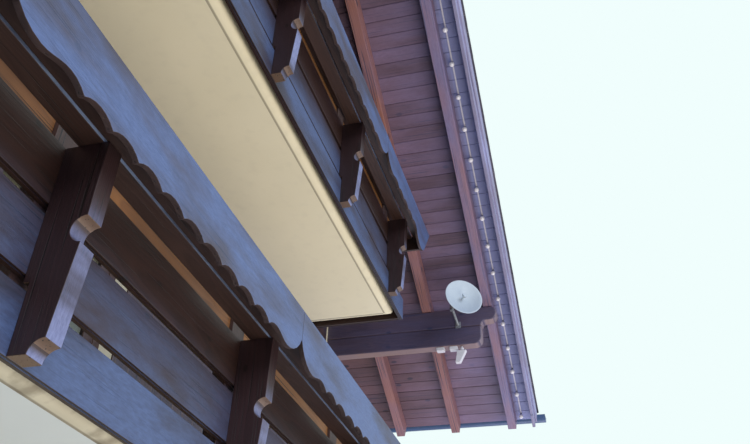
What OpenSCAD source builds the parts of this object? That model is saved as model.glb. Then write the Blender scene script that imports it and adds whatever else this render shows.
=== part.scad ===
// Gable front of an alpine chalet: two timber balconies on concrete slabs under a deep
// boarded roof, one room deep, closed behind by a plain party wall.
// X runs along the front, -Y is the street side, +Z is up, the ground is at Z = 0.

/* [House] */
// Width over the outer faces of the side walls
house_w = 12950; // [11600:10:14200]
// Depth from the face of the front wall to the back of the party wall
house_d = 4200; // [3700:10:4700]
// Thickness of every outer wall
wall_t = 300; // [240:5:360]
// Level of the floor of the ground storey
ground_floor = 150; // [100:5:200]
// Level of the floor behind the lower balcony
lower_floor = 2900; // [2700:5:3100]
// Height from the lower to the upper balcony floor
storey_h = 2890; // [2700:5:3100]
// Thickness of the two floor slabs
slab_t = 190; // [160:5:220]

/* [Balconies] */
// Reach of the lower balcony, from the wall to the face of its boards
lower_reach = 1300; // [1170:5:1400]
// How far the upper balcony stays behind the lower one
upper_set_back = 141; // [100:1:180]
// Distance from the house's corner to the end of the balconies
balcony_inset = 1275; // [1200:5:1400]
// Distance from the last lower bracket to the end of the balcony
lower_end = 421; // [380:1:460]
// Distance from the last upper bracket to the end of the balcony
upper_end = 496; // [450:1:540]
// Distance from the middle of the upper balcony to its first pair of brackets
upper_mid_bay = 1702; // [1600:1:1800]
// Gap between the slab edge and the boards in front of it
slab_gap = 20; // [12:1:28]

/* [Parapet boards] */
// Thickness of the parapet boards
board_t = 40; // [34:1:46]
// Height of the top board
board_a_h = 249; // [230:1:265]
// Height of the middle board
board_b_h = 248; // [230:1:265]
// Height of the bottom board
board_c_h = 234; // [215:1:250]
// Gap between the top and the middle board
gap_ab = 43; // [35:1:50]
// Gap between the middle and the bottom board
gap_bc = 66; // [55:1:75]
// How far the bottom board stands proud of the others
board_c_proud = 25; // [15:1:30]
// How far the bottom board hangs below the slab
board_drop = 10; // [5:1:20]

/* [Brackets] */
// Width of a bracket along the front
bracket_w = 86; // [75:1:95]
// Depth of a bracket at its top
bracket_d = 183; // [170:1:195]
// Depth of a bracket at its foot, in front of the cove
bracket_foot_d = 152; // [145:1:165]
// Radius of the hollow in the face of a bracket and of the cove at its foot
notch_r = 54; // [45:1:60]
// Depth of the centre of that hollow below the bracket's top
notch_z = 379; // [360:1:400]

/* [Shelf and apron] */
// Thickness of the shelf boards
shelf_t = 28; // [24:1:32]
// Gap between the parapet and the inner shelf board
shelf_back_gap = 50; // [40:1:60]
// Gap between the two shelf boards
shelf_slot = 12; // [8:1:16]
// Reach of the shelf in front of the parapet
shelf_reach = 300; // [280:1:320]
// How far less the upper shelf reaches
upper_shelf_cut = 30; // [20:1:40]
// Distance from the end of the shelf boards to the end of the balcony
shelf_end = 160; // [120:5:180]
// How far the boards that close the shelf's ends hang below it
cheek_drop = 135; // [120:5:150]
// Thickness of the apron boards
apron_t = 26; // [22:1:30]
// Height of an apron board above the tips of its cusps
apron_h = 280; // [265:1:300]
// How far the cusps hang below the shelf
apron_drop = 125; // [110:1:135]
// Length of an apron board
apron_board_l = 2390; // [2200:10:2600]
// Distance from the middle of the front to the middle of the nearest lower apron board
lower_apron_x = 398; // [360:1:430]
// How far the aprons run past the ends of the balconies
apron_end = 54; // [30:1:80]
// Spacing of the cusps
cusp_pitch = 173.5; // [166:0.5:182]
// Rise of each arch between two cusps
arch_rise = 31; // [26:1:36]
// Radius of the sweep up to the joint of two apron boards
sweep_r = 200; // [180:5:220]
// Least length from the last cusp to the slanted end of an apron
ear_l = 540; // [500:5:580]
// Radius of the lobe at that end
ear_r = 200; // [180:5:220]
// Length of a flower box
box_l = 800; // [720:10:880]
// Depth of a flower box from front to back
box_d = 170; // [150:1:185]
// Height of a flower box
box_h = 150; // [130:1:165]
// Depth of the soil below a flower box's rim
soil_depth = 20; // [15:1:30]

/* [Posts and rails] */
// Width of a parapet post along the front
post_w = 140; // [125:1:155]
// Depth of a parapet post
post_d = 80; // [70:1:90]
// Height of the handrail's top above the shelf
rail_rise = 255; // [235:1:265]
// Thickness of the handrail
rail_t = 60; // [54:1:66]
// Depth of the handrail from front to back
rail_d = 130; // [122:1:140]
// Height of the board below the handrail
rail_board_h = 190; // [175:1:195]

/* [Soffit moulding] */
// Width of the moulding along the slab's lower edge
mould_w = 75; // [65:1:85]
// Height of the moulding
mould_h = 50; // [40:1:60]
// Radius of the bead on its inner side
bead_r = 6; // [4:0.5:8]

/* [Roof frame] */
// Slope of the roof
roof_pitch = 27; // [24.5:0.5:29.5]
// Level of the top of the eaves purlins above the upper floor
eaves_rise = 437; // [420:1:480]
// Width of purlins and corbels
purlin_w = 140; // [126:1:154]
// Height of a purlin
purlin_h = 234; // [215:1:250]
// Height of a corbel below its purlin
corbel_h = 220; // [200:1:240]
// Distance of the middle purlins from the ridge
middle_purlin_x = 2450; // [2300:10:2650]
// Reach of the purlins in front of the wall
purlin_reach = 1990; // [1950:5:2030]
// How far the corbels stay behind the purlins
corbel_set_back = 175; // [150:5:200]
// Width of a rafter
rafter_w = 100; // [90:1:110]
// Depth of a rafter, square to the roof
rafter_h = 180; // [165:1:195]
// Reach of the middle of the verge rafter in front of the wall
verge_rafter_reach = 1893; // [1880:1:1910]
// Spacing from the verge rafter to the next two
rafter_pitch = 706; // [640:1:740]
// Reach of the rafters beyond the side walls, along their underside
eaves_reach = 1425; // [1300:5:1500]

/* [Roof cover] */
// Thickness of the roof boarding
boarding_t = 24; // [20:1:28]
// How far the boarding runs past the rafters' ends
boarding_lip = 20; // [10:1:30]
// Thickness of the battens between boarding and tiles
batten_t = 60; // [54:1:66]
// How far the battens stay behind the boarding at the eaves
batten_back = 40; // [35:1:60]
// Thickness of the tiles
tile_t = 50; // [40:1:60]
// How far the tiles run past the boarding at the eaves
tile_lip = 10; // [0:1:30]
// Reach of the tiles in front of the wall
verge_reach = 2213; // [2205:1:2230]
// Reach of the inner face of the bargeboards in front of the wall
barge_reach = 2142; // [2120:1:2150]
// Thickness of the inner bargeboard
barge_t = 34; // [28:1:38]
// Thickness of the outer bargeboard
barge_cap_t = 20; // [16:1:24]
// Height of the outer bargeboard's lower edge above the inner one's
barge_step = 90; // [75:1:105]
// How far the bargeboards stay behind the rafters' ends
barge_back = 10; // [8:1:20]
// Radius of the gutters
gutter_r = 76; // [68:1:80]
// Thickness of the gutter sheet
gutter_t = 3; // [2:0.5:4]
// Reach of the gutters in front of the wall
gutter_reach = 2290; // [2275:5:2310]
// Width of a gutter bracket
strap_w = 25; // [20:1:30]
// Thickness of a gutter bracket
strap_t = 5; // [4:0.5:6]
// Length of a gutter bracket's tail let into the boarding
strap_tail = 220; // [180:5:260]

/* [Doors and windows] */
// Width of a door
door_w = 1400; // [1260:10:1460]
// Height of a door
door_h = 2100; // [1950:10:2250]
// Width of a window
window_w = 1200; // [1080:10:1260]
// Height of a window
window_h = 1150; // [1040:10:1260]
// Height of the window sills above the floor
sill_h = 900; // [820:10:980]
// Width of the frames around doors and windows
frame_w = 70; // [63:1:77]
// Depth of those frames
frame_d = 80; // [70:1:90]
// Thickness of the door leaves
leaf_t = 50; // [44:1:56]
// Width of the rail and stiles around the glass of a door leaf
leaf_stile = 95; // [85:1:105]
// Height of the closed lower part of a door leaf
leaf_panel_h = 870; // [780:10:950]
// Thickness of the glass
glass_t = 24; // [20:1:28]

/* [Fittings] */
// Diameter of the dish
dish_d = 410; // [370:5:450]
// Depth of the dish
dish_depth = 58; // [50:1:66]
// Diameter of the pipes that carry the dish
pipe_d = 32; // [28:1:36]
// Spacing of the bulbs along the slope
bulb_pitch = 351; // [320:1:380]
// Diameter of a bulb
bulb_d = 52; // [47:1:57]
// Width of the flat light cable
cable_w = 14; // [12:1:16]
// Thickness of the light cable
cable_t = 6; // [5:0.5:7]
// Height of a bulb's socket
socket_h = 36; // [32:1:40]

/* [Hidden] */
$fn = 48;

// Open joint between two boards of one node
joint = 1;

// The wall's face lies where the whole part is centred on the origin
wall_y = (gutter_reach - house_d) / 2;
upper_floor = lower_floor + storey_h;
upper_reach = lower_reach - upper_set_back;
upper_shelf_reach = shelf_reach - upper_shelf_cut;
half_w = house_w / 2;
inner_half = half_w - wall_t;
balcony_half = half_w - balcony_inset;
eaves_x = half_w - wall_t / 2;
party_y = wall_y + house_d - wall_t;

// Centres of the brackets, from left to right
lower_pitch = (balcony_half - lower_end) / 3;
lower_marks = [for (i = [-3:3]) i * lower_pitch];
upper_pitch = (balcony_half - upper_end - upper_mid_bay) / 2;
upper_right = [for (i = [0:2]) upper_mid_bay + i * upper_pitch];
upper_marks = concat([for (i = [2:-1:0]) -upper_right[i]], [0], upper_right);

// The tops of the brackets carry the shelf; they stand this far above the slab's soffit
parapet_h = board_a_h + gap_ab + board_b_h + gap_bc + board_c_h;
function shelf_z(floor_z) = floor_z - slab_t - board_drop + parapet_h;

// The rafters' underside meets each purlin's top at its inner arris
slope = tan(roof_pitch);
slope_cos = cos(roof_pitch);
slope_sin = sin(roof_pitch);
eaves_top = upper_floor + eaves_rise;
ridge_z = eaves_top + (eaves_x - purlin_w / 2) * slope;
wall_top = eaves_top - purlin_h;
tail_x = half_w + eaves_reach;

// Level of a plane parallel to the roof, that far square to it above the rafters' underside
function roof_z(x, above = 0) = ridge_z - abs(x) * slope + above / slope_cos;

// Where such a plane ends at the eaves, when the rafters are cut square to the slope
function eaves_end(above, lip = 0) = tail_x + above * slope_sin + lip * slope_cos;

boarding_z = rafter_h + boarding_t;
batten_z = boarding_z + batten_t;
cover_z = batten_z + tile_t;

dark_timber = "#33231f";
mid_timber = "#5a3a2a";
warm_timber = "#8a5a34";
roof_timber = "#7a4a45";
plaster = "#d6cfae";
clay = "#3a3634";
galvanised = "#8d9094";
pale_paint = "#e8eaec";

function arc(cx, cz, r, from, to, steps = 8) =
    [for (i = [0:steps]) let (a = from + (to - from) * i / steps) [cx + r * cos(a), cz + r * sin(a)]];

// Extrudes a profile drawn as [out, up] from x0 to x1, with out counted from a face at y
module along_front(x0, x1, y) {
    translate([x0, y, 0]) rotate([90, 0, 90]) linear_extrude(x1 - x0) mirror([1, 0]) children();
}

// Extrudes a profile drawn as [x, z] from y0 to y1
module along_depth(y0, y1) {
    translate([0, y1, 0]) rotate([90, 0, 0]) linear_extrude(y1 - y0) children();
}

module both_sides() {
    children();
    mirror([1, 0, 0]) children();
}

// Openings, each [centre x, sill level, width, height], seen from outside its wall

door_x = lower_pitch;
window_x = lower_pitch * 2.7;
gable_window = [850, 700];

function door_at(x, floor_z) = [x, floor_z, door_w, door_h];
function window_at(x, floor_z, size = [window_w, window_h]) = [x, floor_z + sill_h, size[0], size[1]];

door_holes = [
    door_at(0, ground_floor),
    door_at(-door_x, lower_floor), door_at(door_x, lower_floor),
    door_at(-door_x, upper_floor), door_at(door_x, upper_floor)
];
window_holes = [
    window_at(-window_x, ground_floor), window_at(-door_x * 1.5, ground_floor),
    window_at(door_x * 1.5, ground_floor), window_at(window_x, ground_floor),
    window_at(-window_x, lower_floor), window_at(0, lower_floor), window_at(window_x, lower_floor),
    window_at(-door_x * 2, upper_floor, gable_window), window_at(door_x * 2, upper_floor, gable_window)
];
side_window_holes = [window_at(0, ground_floor), window_at(0, lower_floor)];

// Places what is drawn for a wall whose outer face is y = 0, with the house behind it
module on_front() {
    translate([0, wall_y, 0]) children();
}

module on_side(side) {
    translate([side * half_w, wall_y + house_d / 2, 0]) rotate([0, 0, side * 90]) children();
}

module opening_block(o, y0, y1, inset = 0, bottom_inset = 0) {
    translate([o[0] - o[2] / 2 + inset, y0, o[1] + bottom_inset])
        cube([o[2] - 2 * inset, y1 - y0, o[3] - inset - bottom_inset]);
}

module front_openings() {
    on_front() for (o = concat(door_holes, window_holes)) opening_block(o, -1, wall_t + 1);
}

// Walls and floors

module ground_slab() {
    color("#9a9a94") translate([-inner_half, wall_y + wall_t, 0])
        cube([2 * inner_half, house_d - 2 * wall_t, ground_floor]);
}

module front_wall(z0, z1) {
    color(plaster) difference() {
        translate([-inner_half, wall_y, z0]) cube([2 * inner_half, wall_t, z1 - z0]);
        front_openings();
    }
}

module ground_front_wall() front_wall(0, lower_floor - slab_t);
module lower_front_wall() front_wall(lower_floor, upper_floor - slab_t);

// A wall up to the boarding, widened above the side walls to close the ends of the eaves
module gable_outline(z0) {
    right = [[inner_half, z0], [inner_half, wall_top], [half_w, wall_top],
        [half_w, roof_z(half_w, rafter_h)], [0, roof_z(0, rafter_h)]];
    left = [for (i = [3:-1:0]) [-right[i][0], right[i][1]]];
    polygon(concat(right, left));
}

module gable_wall() {
    color(plaster) difference() {
        along_depth(wall_y, wall_y + wall_t) gable_outline(upper_floor);
        front_openings();
        purlin_pockets(wall_y - 1, wall_y + wall_t + 1, corbel_h);
    }
}

module party_wall() {
    color("#c9c4b4") difference() {
        along_depth(party_y, party_y + wall_t) gable_outline(0);
        purlin_pockets(party_y - 1, party_y + wall_t + 1, 0);
    }
}

module side_wall(side) {
    color(plaster) difference() {
        translate([side > 0 ? inner_half : -half_w, wall_y, 0]) cube([wall_t, house_d, wall_top]);
        purlin_pockets(wall_y - 1, wall_y + wall_t, corbel_h);
        on_side(side) for (o = side_window_holes) opening_block(o, -1, wall_t + 1);
    }
}

module left_wall() side_wall(-1);
module right_wall() side_wall(1);

// The slab's front part is the balcony, rebated below for the moulding
slab_inset = board_t + slab_gap;
slab_half = balcony_half - slab_inset;

module floor_slab(floor_z, reach) {
    edge = reach - slab_inset;
    color(plaster) translate([0, 0, floor_z - slab_t]) difference() {
        union() {
            translate([-inner_half, wall_y, 0]) cube([2 * inner_half, house_d - wall_t, slab_t]);
            translate([-slab_half, wall_y - edge, 0]) cube([2 * slab_half, edge + wall_t, slab_t]);
        }
        difference() {
            translate([-slab_half - 1, wall_y - edge - 1, -1])
                cube([2 * slab_half + 2, edge + 1, mould_h + 1]);
            translate([mould_w - slab_half, wall_y - edge + mould_w, -2])
                cube([2 * (slab_half - mould_w), edge, mould_h + 3]);
        }
    }
}

// Section of the moulding as [out, up]: a bead, then a quarter hollow up to the slab's edge
function moulding_edge(inward) = concat([[-inward, mould_h], [-inward, 0]], arc(bead_r, 0, bead_r, 180, 360),
    [for (a = [15:15:90]) [2 * bead_r + (mould_w - 2 * bead_r) * sin(a), mould_h * (1 - cos(a))]]);

// A plate with that section on its three free edges, opened so that only the moulding is left
module soffit_moulding(floor_z, reach) {
    depth = reach - slab_inset - mould_w;
    half = slab_half - mould_w;
    color("#ddd6b4") translate([0, 0, floor_z - slab_t]) difference() {
        intersection() {
            along_front(-slab_half, slab_half, wall_y - depth) polygon(moulding_edge(depth));
            along_depth(wall_y - reach, wall_y) both_sides_2d()
                translate([half, 0]) polygon(moulding_edge(half));
        }
        translate([-half, wall_y - depth, -1]) cube([2 * half, depth + 1, mould_h + 2]);
    }
}

module both_sides_2d() {
    children();
    mirror([1, 0]) children();
}

module lower_floor_slab() floor_slab(lower_floor, lower_reach);
module upper_floor_slab() floor_slab(upper_floor, upper_reach);
module lower_soffit_moulding() soffit_moulding(lower_floor, lower_reach);
module upper_soffit_moulding() soffit_moulding(upper_floor, upper_reach);

// Parapets. Heights are counted from the shelf's level, outward distances from the face of the
// top and middle boards. The returns to the wall butt against the front strip's back.

board_a_z = -board_a_h;
board_b_z = board_a_z - gap_ab - board_b_h;
board_c_z = board_b_z - gap_bc - board_c_h;

module front_strip(floor_z, reach, half, out, z, depth, h) {
    translate([-half, wall_y - reach - out, shelf_z(floor_z) + z]) cube([2 * half, depth, h]);
}

// A strip of that section along the front and back to the wall at both ends
module parapet_strip(floor_z, reach, out, z, depth, h) {
    side_l = reach + out - depth - joint;
    front_strip(floor_z, reach, balcony_half + out, out, z, depth, h);
    both_sides() translate([balcony_half + out - depth, wall_y - side_l, shelf_z(floor_z) + z])
        cube([depth, side_l, h]);
}

module parapet_boards(floor_z, reach) {
    color(dark_timber) {
        parapet_strip(floor_z, reach, 0, board_a_z, board_t, board_a_h);
        parapet_strip(floor_z, reach, 0, board_b_z, board_t, board_b_h);
        parapet_strip(floor_z, reach, board_c_proud, board_c_z, board_t, board_c_h);
    }
}

module lower_boards() parapet_boards(lower_floor, lower_reach);
module upper_boards() parapet_boards(upper_floor, upper_reach);

// Posts behind the boards, one at each bracket, at each corner and at the wall
post_half = balcony_half - board_t - post_d;

module posts(floor_z, reach, marks) {
    h = shelf_z(floor_z) + rail_rise - rail_t - floor_z;
    y = wall_y - reach + board_t;
    color(mid_timber) {
        for (x = marks) translate([x - post_w / 2, y, floor_z]) cube([post_w, post_d, h]);
        both_sides() for (post_y = [y, wall_y - post_w])
            translate([post_half, post_y, floor_z]) cube([post_d, post_y == y ? post_d : post_w, h]);
    }
}

module lower_posts() posts(lower_floor, lower_reach, lower_marks);
module upper_posts() posts(upper_floor, upper_reach, upper_marks);

// Boards between the posts, right below the handrail
module rail_boards(floor_z, reach, marks) {
    z = shelf_z(floor_z) + rail_rise - rail_t - rail_board_h;
    inset = (post_d - board_t) / 2;
    y = wall_y - reach + board_t;
    ends = concat([-post_half], [for (x = marks) each [x - post_w / 2, x + post_w / 2]], [post_half]);
    color(warm_timber) {
        for (i = [0:2:len(ends) - 2]) translate([ends[i], y + inset, z])
            cube([ends[i + 1] - ends[i], board_t, rail_board_h]);
        both_sides() translate([post_half + inset, y + post_d, z])
            cube([board_t, reach - board_t - post_d - post_w, rail_board_h]);
    }
}

module lower_rail_boards() rail_boards(lower_floor, lower_reach, lower_marks);
module upper_rail_boards() rail_boards(upper_floor, upper_reach, upper_marks);

module handrail(floor_z, reach) {
    overhang = rail_d - board_t - post_d;
    color(mid_timber) parapet_strip(floor_z, reach, overhang, rail_rise - rail_t, rail_d, rail_t);
}

module lower_handrail() handrail(lower_floor, lower_reach);
module upper_handrail() handrail(upper_floor, upper_reach);

// A bracket: a plank on edge, rebated over the bottom board, with a round hollow in its face
// and a cove at its foot
module bracket_outline() {
    rebate_z = board_c_z + board_c_h + gap_bc / 2;
    polygon(concat([[0, 0], [bracket_d, 0]],
        arc(bracket_d - 4, -notch_z, notch_r, 90, 270, 12),
        arc(bracket_foot_d, -parapet_h, notch_r, 90, 180),
        [[board_c_proud, -parapet_h], [board_c_proud, rebate_z], [0, rebate_z]]));
}

module brackets(floor_z, reach, marks) {
    color(dark_timber) translate([0, 0, shelf_z(floor_z)]) for (x = marks)
        along_front(x - bracket_w / 2, x + bracket_w / 2, wall_y - reach) bracket_outline();
}

module lower_brackets() brackets(lower_floor, lower_reach, lower_marks);
module upper_brackets() brackets(upper_floor, upper_reach, upper_marks);

// Shelf of two boards on the brackets: the outer one bears on the brackets' noses. A board on
// edge closes each end
module shelf(floor_z, reach, out) {
    half = balcony_half - shelf_end;
    split = bracket_d - 25;
    color(dark_timber) {
        front_strip(floor_z, reach, half, split, 0, split - shelf_back_gap, shelf_t);
        front_strip(floor_z, reach, half, out, 0, out - split - shelf_slot, shelf_t);
        both_sides() translate([half + joint, wall_y - reach - out, shelf_z(floor_z) - cheek_drop])
            cube([shelf_t, out - shelf_back_gap, cheek_drop + shelf_t]);
    }
}

module lower_shelf() shelf(lower_floor, lower_reach, shelf_reach);
module upper_shelf() shelf(upper_floor, upper_reach, upper_shelf_reach);

// Apron boards, sawn to a row of arches. Where two meet, each dips and sweeps up to the joint,
// and the free end of the last one has a round lobe and a slanted cut
arch_r = (cusp_pitch * cusp_pitch / 4 + arch_rise * arch_rise) / (2 * arch_rise);
arch_half = asin(cusp_pitch / 2 / arch_r);
sweep_turn = 65;
sweep_room = cusp_pitch / 2 + 120 + sweep_r * sin(sweep_turn);
board_arches = floor((apron_board_l - 2 * joint - 2 * sweep_room) / cusp_pitch);
sweep_l = (apron_board_l - 2 * joint - board_arches * cusp_pitch) / 2;

function tail(points) = [for (i = [1:len(points) - 1]) points[i]];
function arch(x, from, to, steps) =
    tail(arc(x + cusp_pitch / 2, arch_rise - arch_r, arch_r, from, to, steps));

// The lower edge from the last cusp on, as [along, up]: to a joint, or to the free end
function to_joint(l) = let (trough = l - sweep_r * sin(sweep_turn), fall = trough - cusp_pitch / 2)
    concat(arch(0, 90 + arch_half, 90, 3),
        [for (i = [1:4]) [cusp_pitch / 2 + fall * i / 5, arch_rise * (1 + cos(36 * i)) / 2]],
        arc(trough, sweep_r, sweep_r, 270, 270 + sweep_turn, 5), [[l, apron_h]]);
function to_free_end(l) = concat(tail(arc(0.89 * ear_r, 0.45 * ear_r, ear_r, 207, 311)), [[l, apron_h]]);

module apron_board(x0, x1, first, last) {
    left_room = first ? ear_l : sweep_l;
    right_room = last ? ear_l : sweep_l;
    count = floor((x1 - x0 - left_room - right_room + 0.1) / cusp_pitch);
    slack = x1 - x0 - left_room - right_room - count * cusp_pitch;
    left_l = left_room + (first == last ? slack / 2 : first ? slack : 0);
    right_l = x1 - x0 - left_l - count * cusp_pitch;
    left = first ? to_free_end(left_l) : to_joint(left_l);
    right = last ? to_free_end(right_l) : to_joint(right_l);
    start = x0 + left_l;
    polygon(concat([for (i = [len(left) - 1:-1:0]) [start - left[i][0], left[i][1]]], [[start, 0]],
        [for (i = [0:count - 1]) each arch(start + i * cusp_pitch, 90 + arch_half, 90 - arch_half, 6)],
        [for (p = right) [x1 - right_l + p[0], p[1]]]));
}

module apron(floor_z, reach, out, middle) {
    back = wall_y - reach - out;
    end = balcony_half + apron_end;
    clear = end - sweep_l - ear_l - cusp_pitch;
    joints = [for (i = [-6:5]) let (x = middle + (i + 0.5) * apron_board_l) if (abs(x) < clear) x];
    ends = concat([-end - joint], joints, [end + joint]);
    last = len(ends) - 2;
    color(mid_timber) translate([0, 0, shelf_z(floor_z) - apron_drop])
        along_depth(back - apron_t, back) for (i = [0:last])
            apron_board(ends[i] + joint, ends[i + 1] - joint, i == 0, i == last);
}

module lower_apron() apron(lower_floor, lower_reach, shelf_reach, lower_apron_x);
module upper_apron() apron(upper_floor, upper_reach, upper_shelf_reach, 0);

// Flower boxes standing on the shelf, one in each bay, filled with soil to below the rim
module flower_box() {
    sheet = 6;
    difference() {
        translate([-box_l / 2, 0, 0]) cube([box_l, box_d, box_h]);
        translate([sheet - box_l / 2, sheet, box_h - soil_depth])
            cube([box_l - 2 * sheet, box_d - 2 * sheet, soil_depth + 1]);
    }
}

module flower_boxes(floor_z, reach, out, marks) {
    y = wall_y - reach - out + 40;
    color("#4a3226") for (i = [0:len(marks) - 2])
        translate([(marks[i] + marks[i + 1]) / 2, y, shelf_z(floor_z) + shelf_t]) flower_box();
}

module lower_flower_boxes() flower_boxes(lower_floor, lower_reach, shelf_reach, lower_marks);
module upper_flower_boxes() flower_boxes(upper_floor, upper_reach, upper_shelf_reach, upper_marks);

// Roof frame

function purlin_top(x) = x == 0 ? ridge_z : roof_z(abs(x) - purlin_w / 2);
purlin_marks = [-eaves_x, -middle_purlin_x, 0, middle_purlin_x, eaves_x];

module purlin_pockets(y0, y1, drop) {
    for (x = purlin_marks) translate([x - purlin_w / 2, y0, purlin_top(x) - purlin_h - drop])
        cube([purlin_w, y1 - y0, purlin_h + drop]);
}

// Side view of a purlin as [out, up from its underside]: a rounded nose over a hollow
module purlin_side() {
    nose_r = 90;
    hollow_r = 62;
    nose = purlin_reach - nose_r;
    polygon(concat([[-house_d, 0], [-house_d, purlin_h]],
        arc(nose, purlin_h - nose_r, nose_r, 64, -60, 10),
        arc(nose - 20, 0, hollow_r, 75, 180)));
}

module corbel_side() {
    round_r = 80;
    corbel_reach = purlin_reach - corbel_set_back;
    polygon(concat([[-wall_t, 0], [-wall_t, corbel_h], [corbel_reach, corbel_h]],
        arc(corbel_reach - round_r, round_r, round_r, 0, -90)));
}

module purlins() {
    color(dark_timber) for (x = purlin_marks) translate([0, 0, purlin_top(x) - purlin_h])
        along_front(x - purlin_w / 2, x + purlin_w / 2, wall_y) purlin_side();
}

module corbels() {
    color(dark_timber) for (x = purlin_marks) translate([0, 0, purlin_top(x) - purlin_h - corbel_h])
        along_front(x - purlin_w / 2, x + purlin_w / 2, wall_y) corbel_side();
}

// A layer of the right-hand slope, between two heights above the rafters' underside, cut square
// at the eaves and plumb at the ridge
module slope_layer(low, high, lip = 0) {
    ridge_gap = 1;
    polygon([[ridge_gap, roof_z(ridge_gap, low)], [ridge_gap, roof_z(ridge_gap, high)],
        [eaves_end(high, lip), roof_z(eaves_end(high, lip), high)],
        [eaves_end(low, lip), roof_z(eaves_end(low, lip), low)]]);
}

// Side view of a rafter, seated on each purlin
module rafter_side() {
    difference() {
        slope_layer(0, rafter_h);
        for (x = [0, middle_purlin_x, eaves_x])
            translate([x - purlin_w / 2, purlin_top(x) - purlin_h]) square([purlin_w, purlin_h]);
    }
}

// Distances of the rafters' middles in front of the wall, and behind its inner face
front_rafters = [for (i = [0:2]) verge_rafter_reach - i * rafter_pitch];
room_bays = 4;
room_pitch = (house_d - 2 * wall_t - rafter_w) / room_bays;
room_rafters = [for (i = [0:room_bays]) -wall_t - rafter_w / 2 - i * room_pitch];

module rafters() {
    color(roof_timber) both_sides() for (m = concat(front_rafters, room_rafters))
        along_depth(wall_y - m - rafter_w / 2, wall_y - m + rafter_w / 2) rafter_side();
}

// Boards on the eaves purlins that close the bays between the rafters
module eaves_infill() {
    inner = eaves_x - boarding_t / 2;
    outer = eaves_x + boarding_t / 2;
    color(roof_timber) both_sides() for (i = [0:room_bays - 1]) {
        y = wall_y - room_rafters[i] + rafter_w / 2;
        along_depth(y, y + room_pitch - rafter_w) polygon([[inner, eaves_top], [outer, eaves_top],
            [outer, roof_z(outer, rafter_h)], [inner, roof_z(inner, rafter_h)]]);
    }
}

module roof_boarding() {
    color("#6b4238") both_sides() difference() {
        along_depth(wall_y - barge_reach, wall_y + house_d) slope_layer(rafter_h, boarding_z, boarding_lip);
        at_straps() strap_tail(1);
    }
}

module bargeboards() {
    face = wall_y - barge_reach - barge_t;
    color(roof_timber) both_sides() {
        along_depth(face, wall_y - barge_reach) slope_layer(0, batten_z, -barge_back);
        along_depth(face - barge_cap_t, face) slope_layer(barge_step, batten_z, -barge_back);
    }
}

// Battens up to the bargeboards, and tiles that run out over the bargeboards and the gutters
module roof_cover() {
    color(clay) both_sides() {
        along_depth(wall_y - barge_reach, wall_y + house_d)
            slope_layer(boarding_z, batten_z + tile_t / 2, boarding_lip - batten_back);
        along_depth(wall_y - verge_reach, wall_y + house_d)
            slope_layer(batten_z, cover_z, boarding_lip + tile_lip);
    }
}

// Ridge tiles: a half round shell over the ridge, its feet cut to the slopes
module ridge_cap() {
    r = 120;
    shell = 16;
    sink = 50;
    far = 2 * r;
    top = roof_z(0, cover_z);
    color(clay) along_depth(wall_y - verge_reach, wall_y + house_d) translate([0, top - sink]) difference() {
        circle(r);
        circle(r - shell);
        polygon([[0, sink], [far, sink - far * slope], [far, -far], [-far, -far],
            [-far, sink - far * slope]]);
    }
}

// Gutters rest in straps that are let into the boarding over each rafter and bent to a half round

hang_r = gutter_r + strap_t;
boarding_end = eaves_end(boarding_z, boarding_lip);
gutter_x = boarding_end + hang_r * slope_cos;
gutter_z = roof_z(boarding_end, boarding_z) + hang_r * slope_sin;

module at_straps() {
    for (m = concat(front_rafters, room_rafters))
        along_depth(wall_y - m - strap_w / 2, wall_y - m + strap_w / 2) children();
}

module strap_tail(over = 0) {
    x0 = boarding_end - strap_tail * slope_cos;
    low = boarding_z - strap_t;
    high = boarding_z + over;
    end_lip = boarding_lip + 8;
    polygon([[x0, roof_z(x0, low)], [x0, roof_z(x0, high)],
        [eaves_end(high, end_lip), roof_z(eaves_end(high, end_lip), high)],
        [eaves_end(low, end_lip), roof_z(eaves_end(low, end_lip), low)]]);
}

// Half ring below the gutter's centre, from the boarding round to the front rim
module half_ring(outer, inner, back_angle, front_angle) {
    far = 3 * outer;
    difference() {
        circle(outer);
        circle(inner);
        polygon([[0, 0], far * [-cos(back_angle), -sin(back_angle)], [-far, far], [far, far],
            far * [cos(front_angle), -sin(front_angle)]]);
    }
}

module gutter_brackets() {
    color(galvanised) both_sides() at_straps() {
        strap_tail();
        translate([gutter_x, gutter_z]) half_ring(hang_r, gutter_r, roof_pitch, 10);
    }
}

module gutters() {
    bead = 9;
    cap_t = 4;
    color("#2f4a60") both_sides() {
        along_depth(wall_y - gutter_reach, wall_y + house_d) translate([gutter_x, gutter_z]) {
            half_ring(gutter_r, gutter_r - gutter_t, 0, 0);
            translate([gutter_r - gutter_t + bead, 0]) circle(bead);
        }
        for (y = [wall_y - gutter_reach, wall_y + house_d - cap_t])
            along_depth(y, y + cap_t) translate([gutter_x, gutter_z]) half_ring(gutter_r, 0.01, 0, 0);
    }
}

// Doors and windows, fixed and closed

threshold_h = 30;

module frame_ring(o, bottom) {
    y = (wall_t - frame_d) / 2;
    difference() {
        opening_block(o, y, y + frame_d);
        opening_block(o, y - 1, y + frame_d + 1, frame_w, bottom);
    }
}

function leaf_w(o) = o[2] / 2 - frame_w;
function leaf_h(o) = o[3] - frame_w - threshold_h;

// Fills the pane of each of a door's two leaves, from y0 to y1
module door_panes(o, y0, y1) {
    for (x = [o[0] - leaf_w(o), o[0]])
        translate([x + leaf_stile, y0, o[1] + threshold_h + leaf_panel_h])
            cube([leaf_w(o) - 2 * leaf_stile, y1 - y0, leaf_h(o) - leaf_panel_h - leaf_stile]);
}

module door(o) {
    y = (wall_t - leaf_t) / 2;
    frame_ring(o, threshold_h);
    difference() {
        opening_block(o, y, y + leaf_t, frame_w, threshold_h);
        door_panes(o, y - 1, y + leaf_t + 1);
    }
}

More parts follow.
